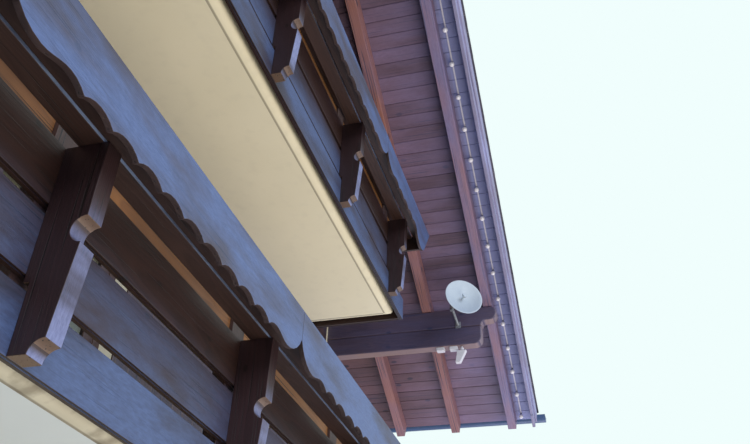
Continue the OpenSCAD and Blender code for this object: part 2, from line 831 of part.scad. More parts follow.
module window_frame(o) {
    frame_ring(o, frame_w);
    translate([o[0] - frame_w / 2, (wall_t - frame_d) / 2, o[1] + frame_w])
        cube([frame_w, frame_d, o[3] - 2 * frame_w]);
}

module window_panes(o, y0, y1) {
    w = o[2] / 2 - 1.5 * frame_w;
    for (x = [o[0] - frame_w / 2 - w, o[0] + frame_w / 2])
        translate([x, y0, o[1] + frame_w]) cube([w, y1 - y0, o[3] - 2 * frame_w]);
}

module doors() {
    color(mid_timber) on_front() for (o = door_holes) door(o);
}

module window_frames() {
    color(mid_timber) {
        on_front() for (o = window_holes) window_frame(o);
        for (side = [-1, 1]) on_side(side) for (o = side_window_holes) window_frame(o);
    }
}

module glazing() {
    y0 = (wall_t - glass_t) / 2;
    y1 = y0 + glass_t;
    color("#9fb4c0", 0.5) {
        on_front() for (o = window_holes) window_panes(o, y0, y1);
        on_front() for (o = door_holes) door_panes(o, y0, y1);
        for (side = [-1, 1]) on_side(side) for (o = side_window_holes) window_panes(o, y0, y1);
    }
}

// Dish on an arm from the inner face of the right-hand eaves purlin

arm_root = [eaves_x - purlin_w / 2, wall_y - purlin_reach + 434, eaves_top - 212];
dish_centre = arm_root + [-406, -127, 93];
dish_turn = 32;
dish_tilt = 5;

module at_dish() {
    translate(dish_centre) rotate([0, dish_tilt - 90, dish_turn]) children();
}

// The sheet follows a parabola and ends in a flat rim; the feed stands on its axis
module dish() {
    sheet = 4;
    steps = 8;
    r = dish_d / 2;
    bowl = [for (i = [0:steps]) [r * i / steps, dish_depth * pow(i / steps, 2)]];
    color(pale_paint) at_dish() {
        rotate_extrude() polygon(concat(bowl, [[r + 6, dish_depth], [r + 6, dish_depth - sheet]],
            [for (i = [steps:-1:0]) bowl[i] - [0, sheet]]));
        cylinder(h = 70, d = 18);
        translate([0, 0, 70]) cylinder(h = 26, d = 52);
    }
}

// A round bar between two points
module rod(a, b, d) {
    v = b - a;
    translate(a) rotate([0, acos(v[2] / norm(v)), atan2(v[1], v[0])]) cylinder(h = norm(v), d = d);
}

// A bent arm from a plate on the purlin through a clamp to the housing behind the dish
module dish_arm() {
    plate = [8, 60, 76];
    clamp_h = 60;
    knee = arm_root + [-205, 26, 110];
    housing_l = 70;
    color(galvanised) {
        translate(arm_root - [plate[0], plate[1] / 2, plate[2] / 2]) cube(plate);
        rod(arm_root - [plate[0] / 2, 0, 0], knee, pipe_d);
        translate(knee - [0, 0, clamp_h / 2]) cylinder(h = clamp_h, d = 1.5 * pipe_d);
        rod(knee, dish_centre + [34, 21, -4], pipe_d);
        at_dish() translate([0, 0, -housing_l - 4]) cylinder(h = housing_l, d = 2 * pipe_d);
    }
}

// Two junction boxes and a lamp under the right-hand corbel: its tapered head hangs on a ball

module floodlight() {
    under = wall_top - corbel_h;
    front = wall_y - purlin_reach + corbel_set_back;
    box = [70, 88, 40];
    lamp_x = eaves_x - 20;
    lamp_y = front + 230;
    lamp_z = under - 56;
    head_half_w = 30;
    head = [[-51, 0], [51, 0], [-20, -141], [-72, -141]];
    color(pale_paint) {
        for (y = [278, 427]) translate([eaves_x - 50, front + y, under - box[2]]) cube(box);
        translate([lamp_x, lamp_y, lamp_z - 4]) cylinder(h = under - lamp_z + 4, d = 22);
        translate([lamp_x, lamp_y, lamp_z + 24]) sphere(d = 44);
        translate([0, 0, lamp_z]) along_front(lamp_x - head_half_w, lamp_x + head_half_w, lamp_y)
            polygon(head);
    }
}

// A string of bulbs under the boarding, between the verge rafters and the bargeboards

cable_reach = (verge_rafter_reach + rafter_w / 2 + barge_reach) / 2 - 30;
cable_back = 60;
first_bulb = eaves_end(rafter_h, boarding_lip - cable_back) - 44;
bulb_step = bulb_pitch * slope_cos;
last_bulb = floor((first_bulb - 40) / bulb_step);

// Places children on the boarding's underside: x up the slope, z square to it and down
module under_verge(x) {
    translate([x, wall_y - cable_reach, roof_z(x, rafter_h)]) rotate([0, 180 + roof_pitch, 0]) children();
}

module light_cable() {
    y = wall_y - cable_reach;
    color("#c9c9c4") both_sides() along_depth(y - cable_w / 2, y + cable_w / 2)
        slope_layer(rafter_h - cable_t, rafter_h, boarding_lip - cable_back);
}

module light_bulbs() {
    color("#f4f4f2") both_sides() for (i = [0:last_bulb])
        under_verge(first_bulb - i * bulb_step) translate([0, 0, cable_t]) {
            cylinder(h = socket_h, d = 26, $fn = 12);
            translate([0, 0, socket_h + bulb_d / 2 - 4]) sphere(d = bulb_d, $fn = 16);
        }
}

ground_slab();
lower_floor_slab();
upper_floor_slab();
ground_front_wall();
lower_front_wall();
gable_wall();
left_wall();
right_wall();
party_wall();
lower_soffit_moulding();
upper_soffit_moulding();
lower_posts();
upper_posts();
lower_boards();
upper_boards();
lower_brackets();
upper_brackets();
lower_rail_boards();
upper_rail_boards();
lower_handrail();
upper_handrail();
lower_shelf();
upper_shelf();
lower_apron();
upper_apron();
lower_flower_boxes();
upper_flower_boxes();
purlins();
corbels();
rafters();
eaves_infill();
roof_boarding();
bargeboards();
roof_cover();
ridge_cap();
gutters();
gutter_brackets();
doors();
window_frames();
glazing();
dish();
dish_arm();
floodlight();
light_cable();
light_bulbs();
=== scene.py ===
# %% [markdown]
# # The gable front of an alpine chalet
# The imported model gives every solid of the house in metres: X runs along the front, -Y is the
# street, Z is up. This file dresses those solids. It reads them as a fixed frame, builds finer
# timber, tiles and fittings where a bare solid would look plain, and gives each surface a
# material that starts from what the real one is.

# %% Load the frame
import math
import random

import bmesh
import bpy
from mathutils import Matrix, Vector, noise


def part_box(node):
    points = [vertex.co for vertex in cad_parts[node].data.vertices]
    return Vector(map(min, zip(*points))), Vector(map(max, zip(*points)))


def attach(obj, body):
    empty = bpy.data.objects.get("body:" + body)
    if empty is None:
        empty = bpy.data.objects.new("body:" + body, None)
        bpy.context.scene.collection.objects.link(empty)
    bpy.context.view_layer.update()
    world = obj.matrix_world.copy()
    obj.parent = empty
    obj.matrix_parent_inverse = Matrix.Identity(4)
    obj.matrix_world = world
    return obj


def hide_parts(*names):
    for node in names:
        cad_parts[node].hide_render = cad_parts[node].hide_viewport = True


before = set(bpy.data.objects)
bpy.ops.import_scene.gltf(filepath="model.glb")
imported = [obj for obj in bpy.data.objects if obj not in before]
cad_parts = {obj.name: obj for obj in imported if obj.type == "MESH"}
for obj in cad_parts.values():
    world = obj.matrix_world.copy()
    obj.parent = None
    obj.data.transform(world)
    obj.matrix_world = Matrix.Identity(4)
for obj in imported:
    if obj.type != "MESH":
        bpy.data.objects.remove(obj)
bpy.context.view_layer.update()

scene = bpy.context.scene
scene.view_settings.view_transform = "Standard"
wall_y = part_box("lower_front_wall")[0].y
print("frame", len(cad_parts), "nodes, front wall at", round(wall_y, 4))

# %% [markdown]
# ## The camera
# The photograph was taken by hand from the street, 1.8 m out from the balconies and 2 m left of
# the ridge. It looks 35 degrees up and mostly along the front, so that even level edges run
# steeply across the picture, and it is rolled by under 3 degrees. A camera can be aimed with a
# target, but a rolled one is easier to set from the three directions of its picture: right, down
# and forward. They were fitted once to the edges of the balconies and the roof, and stand here as
# numbers.

# %% Camera
IMAGE_W = 750
FOCAL_PIXELS = 828.23
SENSOR_MM = 36
EYE = Vector((-1.970, wall_y - 3.110, 1.627))
picture_right = Vector((0.275311, -0.960620, 0.037582))
picture_down = Vector((0.555680, 0.127112, -0.821621))
picture_forward = Vector((0.784489, 0.247084, 0.568793))

camera_data = bpy.data.cameras.new("street_camera")
camera_data.sensor_width = SENSOR_MM
camera_data.lens = FOCAL_PIXELS / IMAGE_W * SENSOR_MM
camera_data.clip_end = 200
camera = bpy.data.objects.new("street_camera", camera_data)
scene.collection.objects.link(camera)
turn = Matrix((picture_right, -picture_down, -picture_forward)).transposed().to_4x4()
camera.matrix_world = Matrix.Translation(EYE) @ turn
scene.camera = camera
print("lens", round(camera_data.lens, 2), "mm, eye", round(EYE.z, 3), "m above the ground, looking",
      round(math.degrees(math.asin(picture_forward.z)), 1), "degrees up")

# %% [markdown]
# ## Colours and nodes
# A colour is easiest to write as a web code, but a shader reckons with amounts of light, so one
# function turns the code into those. A pattern's size is easiest to judge in millimetres, while
# a texture counts how many of its cells fit in a metre. Materials can be drawn by hand in the node
# editor. Here one short function adds a node and its links, so a material reads from top to bottom.

# %% Colours and nodes
def linear(hex_code):
    """A colour such as "#5a3a2a" in the linear values that shaders work in."""
    parts = [int(hex_code[i:i + 2], 16) / 255 for i in (1, 3, 5)]
    return tuple(c / 12.92 if c <= 0.04045 else ((c + 0.055) / 1.055) ** 2.4 for c in parts) + (1.0,)


def per_metre(mm):
    """How many features of that size fit in a metre, which is what a texture's scale counts."""
    return 1000 / mm


def add(tree, kind, inputs=None, **settings):
    """A new shader node with its settings; an input takes a value or another node's socket."""
    new = tree.nodes.new("ShaderNode" + kind)
    for name, value in settings.items():
        setattr(new, name, value)
    for key, value in (inputs or {}).items():
        if isinstance(value, bpy.types.NodeSocket):
            tree.links.new(value, new.inputs[key])
        else:
            new.inputs[key].default_value = value
    return new


def blank_material(name, **shader_values):
    """A material with only its shader and output; values go on the shader's own sockets."""
    material = bpy.data.materials.new(name)
    material.use_nodes = True
    tree = material.node_tree
    tree.nodes.clear()
    shader = add(tree, "BsdfPrincipled", {k.replace("_", " "): v for k, v in shader_values.items()})
    add(tree, "OutputMaterial", {"Surface": shader.outputs[0]})
    return material, tree, shader


print("mid grey #808080 is", round(linear("#808080")[0], 3), "of white as light")

# %% [markdown]
# ## Light and floor
# The balcony fronts lie in open shade: light falls from all round, and some of it is thrown up
# under the roof. A picture wrapped round the scene could give that, but its colours can't be set
# one by one. So an even world and one large soft panel high in front give the shade. The floor
# alone would throw up too little, so two weaker panels lie just above it, face up, and light the
# undersides. The background is near white only for the camera, reflections and glass, so that it
# adds no light to the house.

# %% World
world = bpy.data.worlds.new("open_shade")
scene.world = world
world.use_nodes = True
sky = world.node_tree
sky.nodes.clear()
seen = add(sky, "LightPath")
through = add(sky, "Math", {0: seen.outputs["Is Camera Ray"], 1: seen.outputs["Is Transmission Ray"]},
              operation="MAXIMUM")
straight = add(sky, "Math", {0: through.outputs[0], 1: seen.outputs["Is Glossy Ray"]}, operation="MAXIMUM")
shade = add(sky, "Background", {"Color": linear("#cfdcff"), "Strength": 0.75})
backdrop = add(sky, "Background", {"Color": linear("#f0fefd"), "Strength": 1.0})
both = add(sky, "MixShader", {0: straight.outputs[0], 1: shade.outputs[0], 2: backdrop.outputs[0]})
add(sky, "OutputWorld", {"Surface": both.outputs[0]})
print("world of", len(sky.nodes), "nodes")

# %% Lamps and floor
def soft_panel(name, place, target, size, watts, colour):
    """A square area lamp that faces its target."""
    lamp = bpy.data.lights.new(name, "AREA")
    lamp.size = size
    lamp.energy = watts
    lamp.color = linear(colour)[:3]
    holder = bpy.data.objects.new(name, lamp)
    holder.location = place
    holder.visible_camera = False
    holder.rotation_euler = (Vector(target) - Vector(place)).to_track_quat("-Z", "Y").to_euler()
    scene.collection.objects.link(holder)


soft_panel("street_panel", (-14, -23, 14), (0, 0, 15), 14, 4300, "#eef3ff")
soft_panel("ground_bounce", (2, -8.5, 0.02), (2, -8.5, 9), 8, 600, "#fff0dc")
soft_panel("yard_bounce", (11.8, -4.5, 0.02), (11.8, -4.5, 9), 6, 400, "#f4efff")

FLOOR_HALF = 60
corners = [(x * FLOOR_HALF, y * FLOOR_HALF, 0) for x, y in ((-1, -1), (1, -1), (1, 1), (-1, 1))]
floor_mesh = bpy.data.meshes.new("pale_floor")
floor_mesh.from_pydata(corners, [], [(0, 1, 2, 3)])
floor = bpy.data.objects.new("pale_floor", floor_mesh)
scene.collection.objects.link(floor)
# Matt floor paint: an even pale grey with no shine, so that it shows only the soft shadow.
floor_paint, _, floor_shader = blank_material("matt_floor_paint", Roughness=0.9)
floor_shader.inputs["Base Color"].default_value = linear("#dcdcda")
floor_mesh.materials.append(floor_paint)
print("lamps", [light.name for light in bpy.data.lights])

# %% [markdown]
# ## Working copies of the solids
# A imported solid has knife-sharp arrises, and its curved faces are cut into flat strips. Real
# timber is eased along every arris, and that thin rounded line catches the light. One way is a
# bevel modifier on the solid. Here each solid is copied instead, its arrises are rounded, and the
# copy carries extra values for its material, so the solid itself stays as it is.

# %% Copy and ease
GENTLE = math.radians(30)
WELD = 1e-5
FLAT = math.radians(0.5)


def solids_of_node(node):
    """A working copy of a node: corners joined and flat faces made whole again."""
    bm = bmesh.new()
    bm.from_mesh(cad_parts[node].data)
    bm.transform(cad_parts[node].matrix_world)
    bmesh.ops.remove_doubles(bm, verts=bm.verts, dist=WELD)
    bmesh.ops.dissolve_limit(bm, angle_limit=FLAT, verts=bm.verts, edges=bm.edges)
    return bm


def ease_arrises(bm, width, segments=2):
    """Rounds every arris that turns more than 30 degrees."""
    sharp = [e for e in bm.edges if len(e.link_faces) == 2 and e.calc_face_angle(0) > GENTLE]
    bmesh.ops.bevel(bm, geom=sharp, offset=width, segments=segments, profile=0.5, affect="EDGES",
                    clamp_overlap=False)


def separate_solids(bm):
    """The solids of a mesh, each a list of its vertices, in the order of the mesh."""
    bm.verts.ensure_lookup_table()
    bm.verts.index_update()
    seen, found = set(), []
    for first in bm.verts:
        if first.index in seen:
            continue
        seen.add(first.index)
        group, waiting = [], [first]
        while waiting:
            vertex = waiting.pop()
            group.append(vertex)
            for edge in vertex.link_edges:
                other = edge.other_vert(vertex)
                if other.index not in seen:
                    seen.add(other.index)
                    waiting.append(other)
        found.append(group)
    return found


def boxes_of(node):
    """Lowest and highest corner of every solid in a node."""
    bm = solids_of_node(node)
    found = []
    for group in separate_solids(bm):
        found.append((Vector([min(v.co[i] for v in group) for i in range(3)]),
                      Vector([max(v.co[i] for v in group) for i in range(3)])))
    bm.free()
    return found


print(len(boxes_of("rafters")), "rafters and", len(boxes_of("purlins")), "purlins in the frame")

# %% Keep a piece
CREASE = 38


def keep(name, bm, materials, replaces=(), crease=CREASE):
    """Turns a working mesh into a piece that rides on the house; crease is its sharp angle."""
    mesh = bpy.data.meshes.new(name)
    bm.to_mesh(mesh)
    bm.free()
    for material in materials:
        mesh.materials.append(material)
    mesh.polygons.foreach_set("use_smooth", [True] * len(mesh.polygons))
    mesh.set_sharp_from_angle(angle=math.radians(crease))
    piece = bpy.data.objects.new(name, mesh)
    scene.collection.objects.link(piece)
    piece.modifiers.new("flat_faces_stay_flat", "WEIGHTED_NORMAL").keep_sharp = True
    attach(piece, "root")
    if replaces:
        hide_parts(*replaces)
    print(name, len(mesh.polygons), "faces")


print("faces that meet at over", CREASE, "degrees stay crisp")

# %% [markdown]
# ## Where each board was sawn
# Growth rings are cylinders round the middle of a tree, the pith. A board's grain looks right
# when its pattern is cut from such cylinders, with the pith at another place for every board. So
# each vertex of a board stores its place in the board: metres along it, across it and through it,
# counted from a pith line of its own. An image could not do this on end grain and faces at once.

# %% Grain values
LOG = 40
PITH_ACROSS = 0.09
PITH_DEPTH = (0.02, 0.11)
BESIDE_GRAIN = 0.3
END_GRAIN = 0.7


def sawn(bm, seed):
    """Stores for every solid its place along, across and through the grain, a random tint, how
    far below the top of the piece it is, and which faces are end grain."""
    along_grain = bm.verts.layers.float_vector.new("grain")
    tint = bm.verts.layers.float.new("tint")
    below = bm.verts.layers.float.new("below")
    end = bm.faces.layers.float.new("end")
    rng = random.Random(seed)
    top = max(v.co.z for v in bm.verts)
    for group in separate_solids(bm):
        edges = {e for v in group for e in v.link_edges}
        longest = max(edges, key=lambda e: (round(e.calc_length(), 3), e.verts[0].index))
        grain = (longest.verts[1].co - longest.verts[0].co).normalized()
        faces = {f for v in group for f in v.link_faces}
        sides = [f for f in faces if abs(f.normal.dot(grain)) < BESIDE_GRAIN]
        widest = max(sides, key=lambda f: (round(f.calc_area(), 4), f.index))
        through = widest.normal - grain * widest.normal.dot(grain)
        through.normalize()
        across = grain.cross(through)
        middle = sum((v.co for v in group), Vector()) / len(group)
        pith = Vector((rng.uniform(0, LOG), rng.uniform(-PITH_ACROSS, PITH_ACROSS), rng.uniform(*PITH_DEPTH)))
        shade = rng.random()
        for vertex in group:
            offset = vertex.co - middle
            place = Vector((offset.dot(grain), offset.dot(across), offset.dot(through)))
            vertex[along_grain] = place + pith
            vertex[tint] = shade
            vertex[below] = top - vertex.co.z
        for face in faces:
            face[end] = 1.0 if abs(face.normal.dot(grain)) > END_GRAIN else 0.0


def keep_sawn(name, bm, seed, material, replaces=()):
    """Gives every solid its grain and keeps them as one piece."""
    bm.faces.index_update()
    sawn(bm, seed)
    keep(name, bm, [material], replaces=replaces)


def timber_node(node, material, arris=0.004):
    """A node of timber, eased, sawn and stained."""
    bm = solids_of_node(node)
    ease_arrises(bm, arris)
    keep_sawn(node + "_timber", bm, node, material, replaces=[node])


print("pith up to", PITH_DEPTH[1] * 1000, "mm behind a board's face")

# %% [markdown]
# ## Spruce
# The timber is planed spruce. Dark late wood closes each growth ring, the fibres show as fine
# streaks, drying opens thin shakes, and knots are round and dense. A ready wood picture would
# show the same on every board. Here each of these is a layer of its own, cut from the board's
# grain values at real sizes: rings 5 mm apart and knots 28 to 48 mm across. Real fibres are far
# finer than the picture shows, so they are drawn 2 mm wide, as coarse as they need to be.

# %% Clouds and streaks
def drawn_noise(tree, place, sizes, detail, roughness=0.5):
    """Clouds of those millimetres along each axis: much longer along one, they are streaks."""
    cells = tuple(per_metre(mm) for mm in sizes)
    scaled = add(tree, "VectorMath", {0: place, 1: cells}, operation="MULTIPLY")
    clouds = add(tree, "TexNoise", {"Vector": scaled.outputs[0], "Scale": 1.0, "Detail": detail,
                                    "Roughness": roughness})
    return clouds.outputs[0]


print("clouds of 250 mm are", per_metre(250), "a metre")

# %% Rings and knots
RING_MM = 5
RING_FLATTEN = (0.012, 1, 1)
RING_WANDER = 0.035
WANDER_MM = (909, 143, 143)
LATE_WOOD = (0.82, 0.97)
KNOT_MM = (769.2, 153.8)
KNOT_OVAL = 0.55
KNOTTY = 0.55


def growth_rings(tree, grain):
    """Dark lines where a board cuts the rings round its pith, which wander along the trunk."""
    wander = drawn_noise(tree, grain, WANDER_MM, 2.0)
    flat = add(tree, "VectorMath", {0: grain, 1: RING_FLATTEN}, operation="MULTIPLY")
    reach = add(tree, "VectorMath", {0: flat.outputs[0]}, operation="LENGTH")
    bent = add(tree, "Math", {0: wander, 1: RING_WANDER, 2: reach.outputs["Value"]},
               operation="MULTIPLY_ADD")
    count = add(tree, "Math", {0: bent.outputs[0], 1: RING_MM / 1000}, operation="DIVIDE")
    part = add(tree, "Math", {0: count.outputs[0]}, operation="FRACT")
    rings = add(tree, "ValToRGB", {0: part.outputs[0]})
    rings.color_ramp.elements[0].color = (0, 0, 0, 1)
    rings.color_ramp.elements[1].position = LATE_WOOD[0]
    rings.color_ramp.elements.new(LATE_WOOD[1]).color = (0.15, 0.15, 0.15, 1)
    return rings.outputs[0]


def knots(tree, grain, radius):
    """Round knots: one near the middle of some cells of a wide grid along the board."""
    along, across = KNOT_MM
    spread = add(tree, "VectorMath", {0: grain, 1: (per_metre(along), per_metre(across), 0)},
                 operation="MULTIPLY")
    cells = add(tree, "TexVoronoi", {"Vector": spread.outputs[0], "Scale": 1.0}, voronoi_dimensions="2D")
    some = add(tree, "Math", {0: cells.outputs["Color"], 1: KNOTTY}, operation="GREATER_THAN")
    offset = add(tree, "VectorMath", {0: spread.outputs[0], 1: cells.outputs["Position"]},
                 operation="SUBTRACT")
    real = add(tree, "VectorMath", {0: offset.outputs[0], 1: (KNOT_OVAL * along / 1000, across / 1000, 0)},
               operation="MULTIPLY")
    reach = add(tree, "VectorMath", {0: real.outputs[0]}, operation="LENGTH")
    edge = add(tree, "MapRange", {0: reach.outputs["Value"], 1: radius, 2: 0.6 * radius})
    return add(tree, "Math", {0: edge.outputs[0], 1: some.outputs[0]}, operation="MULTIPLY").outputs[0]


print("rings", RING_MM, "mm apart, a knot at most every", round(KNOT_MM[0]), "mm")

# %% [markdown]
# ## A glaze, with painted sky light and shade
# The wood is stained with a brown glaze, a thin film that lets the grain through. Where the sky
# reaches a board the film reflects it, and that blue-grey reflection is painted into the colour,
# cloudy and specked; near the top of a piece it gives way to painted shade, which stays brown.
# Under the roof a painted sky light pales the wood towards the verge. That can be painted by hand
# as a mask. Here the mask is reckoned: from the way a face looks, from how far it lies below the
# top of its piece, and under the roof from how far in it is from the verge, so that it also holds
# for boards that no one looked at.

# %% Painted sky reflection, and the painted light the verge lets in
FACING = (0.8, 0.98)
THIN_REFLECTION = 0.25
SPECK_MM = (50, 13.3, 13.3)


def sky_reflection_on_front(tree, surface, below, clouds, sky_reflection, shade_depths):
    """Share of painted sky reflection on faces towards the street, rising from painted shade at one depth
    below the top to full at another.
    """
    front = add(tree, "VectorMath", {0: surface.outputs["Normal"], 1: (0, -1, 0)}, operation="DOT_PRODUCT")
    square = add(tree, "MapRange", {0: front.outputs["Value"], 1: FACING[0], 2: FACING[1]})
    unshaded = add(tree, "MapRange", {0: below, 1: shade_depths[0], 2: shade_depths[1]},
                   interpolation_type="SMOOTHSTEP")
    reached = add(tree, "Math", {0: square.outputs[0], 1: unshaded.outputs[0]}, operation="MULTIPLY")
    patchy = add(tree, "MapRange", {0: clouds, 1: 0.38, 2: 0.57, 3: THIN_REFLECTION * sky_reflection, 4: sky_reflection})
    return add(tree, "Math", {0: reached.outputs[0], 1: patchy.outputs[0]}, operation="MULTIPLY").outputs[0]


def sky_reflection_streaks(tree, grain, fibres, colours):
    """The colour of the painted sky reflection: paler along the fibres and in small specks."""
    specks = drawn_noise(tree, grain, SPECK_MM, 4.0, 0.7)
    mottle = add(tree, "MapRange", {0: specks, 1: 0.36, 2: 0.68, 3: -0.08, 4: 0.3})
    paler = add(tree, "Math", {0: fibres, 1: 0.7, 2: mottle.outputs[0]}, operation="MULTIPLY_ADD",
                use_clamp=True)
    streak = add(tree, "Mix", {0: paler.outputs[0], 6: linear(colours[0]), 7: linear(colours[1])},
                 data_type="RGBA")
    return streak.outputs[2]


def sky_light_from_verge(tree, depth, tint, blotch, verge):
    """Painted sky light that is strongest at the verge and fades further in, uneven from board to board."""
    start, finish, most = verge
    faded = add(tree, "MapRange", {0: depth, 1: start, 2: finish, 3: most, 4: 0.0})
    uneven = add(tree, "Math", {0: tint, 1: 0.3, 2: blotch}, operation="MULTIPLY_ADD")
    share = add(tree, "MapRange", {0: uneven.outputs[0], 1: 0.42, 2: 0.88, 3: 0.42, 4: 1.2})
    return add(tree, "Math", {0: faded.outputs[0], 1: share.outputs[0]}, operation="MULTIPLY",
               use_clamp=True).outputs[0]


def verge_strip(tree, depth, streak, strip):
    """Share of the painted bright strip of light outside the last rafter, and its colour, with painted blue
    shadow beside the rafter.
    """
    start, outside, behind = strip
    edge = add(tree, "MapRange", {0: depth, 1: start, 2: start + 0.08, 3: 0.85, 4: 0.0})
    shade = add(tree, "MapRange", {0: depth, 1: start + 0.1, 2: start + 0.65, 3: 0.75, 4: 0.0})
    dusk = add(tree, "Mix", {0: shade.outputs[0], 6: streak, 7: linear(behind)}, data_type="RGBA")
    lit = add(tree, "Mix", {0: edge.outputs[0], 6: dusk.outputs[2], 7: linear(outside)}, data_type="RGBA")
    return edge.outputs[0], lit.outputs[2]


print("bloom on faces within", round(math.degrees(math.acos(FACING[0]))), "degrees of the street")

# %% Stained spruce
FIBRE_MM = (250, 2, 2)
SHAKE_MM = (625, 7.7, 7.7)
BLOTCH_MM = (667, 200, 200)
REFLECTION_CLOUD_MM = (1111, 1111, 285.7)
KNOT_BROWN = "#1d110d"
SHAKE_BLACK = "#140d0b"


def stained_spruce(name, deep, pale, end_grain, sky_reflection=0.0, sky_light=0.0, knot_r=0.014, figure=0.28,
                   sky_reflection_colours=("#354160", "#566c97"), shade_depths=(0.16, 0.62), verge=None, strip=None,
                   under=None):
    """Planed spruce with a brown glaze between two colours. sky_reflection is how much of the open
    front has a painted blue-grey sky reflection, sky_light how much painted blue sky light lies on
    every face, and shade_depths the depths below the top between which painted shade gives way to
    that reflection. figure is how dark the rings are. verge is where the painted sky light starts,
    where it ends and how strong it is at most. strip is where the painted bright strip of light ends,
    its colour and the colour of the painted blue shadow behind it. under is the colour of faces that
    look down, where it paints light thrown up from below."""
    material, tree, shader = blank_material(name)
    grain = add(tree, "Attribute", attribute_name="grain").outputs["Vector"]
    tint, end, below = [add(tree, "Attribute", attribute_name=value).outputs["Fac"]
                        for value in ("tint", "end", "below")]
    surface = add(tree, "NewGeometry")
    rings = growth_rings(tree, grain)
    fibres = drawn_noise(tree, grain, FIBRE_MM, 2.0)
    shakes = add(tree, "MapRange", {0: drawn_noise(tree, grain, SHAKE_MM, 0.0), 1: 0.70, 2: 0.76})
    blotch = drawn_noise(tree, grain, BLOTCH_MM, 3.0)

    light = add(tree, "Math", {0: fibres, 1: 0.55, 2: -0.12}, operation="MULTIPLY_ADD")
    for part, share in ((tint, 0.35), (blotch, 0.5), (rings, -figure)):
        light = add(tree, "Math", {0: part, 1: share, 2: light.outputs[0]}, operation="MULTIPLY_ADD")
    light.use_clamp = True
    wood = add(tree, "Mix", {0: light.outputs[0], 6: linear(deep), 7: linear(pale)}, data_type="RGBA")
    for share, colour in ((knots(tree, grain, knot_r), KNOT_BROWN), (end, end_grain),
                          (shakes.outputs[0], SHAKE_BLACK)):
        wood = add(tree, "Mix", {0: share, 6: wood.outputs[2], 7: linear(colour)}, data_type="RGBA")
    # Faces that look down take the under colour, painted light thrown up from below.
    if under:
        down = add(tree, "VectorMath", {0: surface.outputs["Normal"], 1: (0, 0, -1)},
                   operation="DOT_PRODUCT")
        lit_from_below = add(tree, "MapRange", {0: down.outputs["Value"], 1: FACING[0], 2: FACING[1], 3: 0.0, 4: 0.8})
        wood = add(tree, "Mix", {0: lit_from_below.outputs[0], 6: wood.outputs[2], 7: linear(under)}, data_type="RGBA")

    # Painted sky reflection and painted sky light on the wood, with painted shade near the top of a piece.
    streak = sky_reflection_streaks(tree, grain, fibres, sky_reflection_colours)
    clouds = drawn_noise(tree, surface.outputs["Position"], REFLECTION_CLOUD_MM, 4.0, 0.58)
    sky_lit = add(tree, "MapRange", {0: clouds, 1: 0.3, 2: 0.65, 3: 0.4 * sky_light, 4: 1.6 * sky_light})
    veils = [sky_reflection_on_front(tree, surface, below, clouds, sky_reflection, shade_depths)]
    # Under the roof: painted sky light strongest at the verge, and a painted bright strip with painted blue
    # shadow beside the last rafter.
    if verge:
        depth = add(tree, "SeparateXYZ", {0: surface.outputs["Position"]}).outputs[1]
        veils.append(sky_light_from_verge(tree, depth, tint, blotch, verge))
        if strip:
            edge, streak = verge_strip(tree, depth, streak, strip)
            veils.append(edge)
    veil = sky_lit
    for share in veils:
        veil = add(tree, "Math", {0: veil.outputs[0], 1: share}, operation="MAXIMUM")
    reflected = add(tree, "Mix", {0: veil.outputs[0], 6: wood.outputs[2], 7: streak}, data_type="RGBA")
    tree.links.new(reflected.outputs[2], shader.inputs["Base Color"])

    dull = add(tree, "Math", {0: fibres, 1: 0.3, 2: 0.35}, operation="MULTIPLY_ADD")
    tree.links.new(dull.outputs[0], shader.inputs["Roughness"])
    ridges = add(tree, "Math", {0: rings, 1: 0.5, 2: fibres}, operation="MULTIPLY_ADD")
    sunk = add(tree, "Math", {0: shakes.outputs[0], 1: -2.0, 2: ridges.outputs[0]}, operation="MULTIPLY_ADD")
    relief = add(tree, "Bump", {"Strength": 0.5, "Distance": 0.001, "Height": sunk.outputs[0]})
    tree.links.new(relief.outputs[0], shader.inputs["Normal"])
    return material


verge_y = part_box("roof_boarding")[0].y
print("verge", round(wall_y - verge_y, 3), "m in front of the wall")

# %% Glazes of the balconies
# Parapet boards: near black, with a painted blue sky reflection on the front that gives way to painted
# shade near the top, so each shows its height.
dark_stain = stained_spruce("spruce_dark_glaze", "#1a0f0d", "#40271f", "#9a8268", sky_reflection=0.92)
# Brackets: dark sides beside a front with a painted pale blue-grey sky reflection from the nose down.
bracket_stain = stained_spruce("spruce_bracket_glaze", "#1a0f10", "#3a2324", "#665141", sky_reflection=0.95,
                               sky_reflection_colours=("#555f82", "#929ac2"), shade_depths=(0.22, 0.48))
# Posts, handrails, doors and cladding: the glaze's own brown, as the eye knows it from indoors, with a
# faint painted sky light and sky reflection.
brown_stain = stained_spruce("spruce_brown_glaze", "#2c1c16", "#5c4033", "#9a8268", sky_reflection=0.3, sky_light=0.04)
# Boards under the handrail: a warm orange brown that shows through the gaps.
warm_stain = stained_spruce("spruce_warm_glaze", "#6a4022", "#ab7338", "#b08a5c")
# Shelves: dark from below, with a painted pale blue sky reflection all along the front edge.
shelf_stain = stained_spruce("spruce_shelf_glaze", "#1f1411", "#473129", "#5a463a", sky_reflection=1.0,
                             sky_reflection_colours=("#5d7094", "#96aacb"), shade_depths=(-0.3, -0.2))
# Aprons: the most open boards, with a painted slate blue sky reflection over the front, which sets the
# sawn edge off from the dark.
apron_stain = stained_spruce("spruce_apron_glaze", "#241917", "#4b3a36", "#2a1d1a", sky_reflection=0.96,
                             sky_reflection_colours=("#3a4c72", "#5e739f"), shade_depths=(-0.2, 0.02))
print(len(bpy.data.materials), "materials")

# %% Glazes of the roof
# Purlins and corbels: thick beams, grey-brown at the sides under painted blue sky light, and pale below
# with painted light thrown up from the ground.
beam_stain = stained_spruce("spruce_beam_glaze", "#2e2020", "#664c46", "#8d7a70", sky_light=0.32, knot_r=0.02,
                            sky_reflection_colours=("#40476f", "#5f6592"), under="#a4805f")
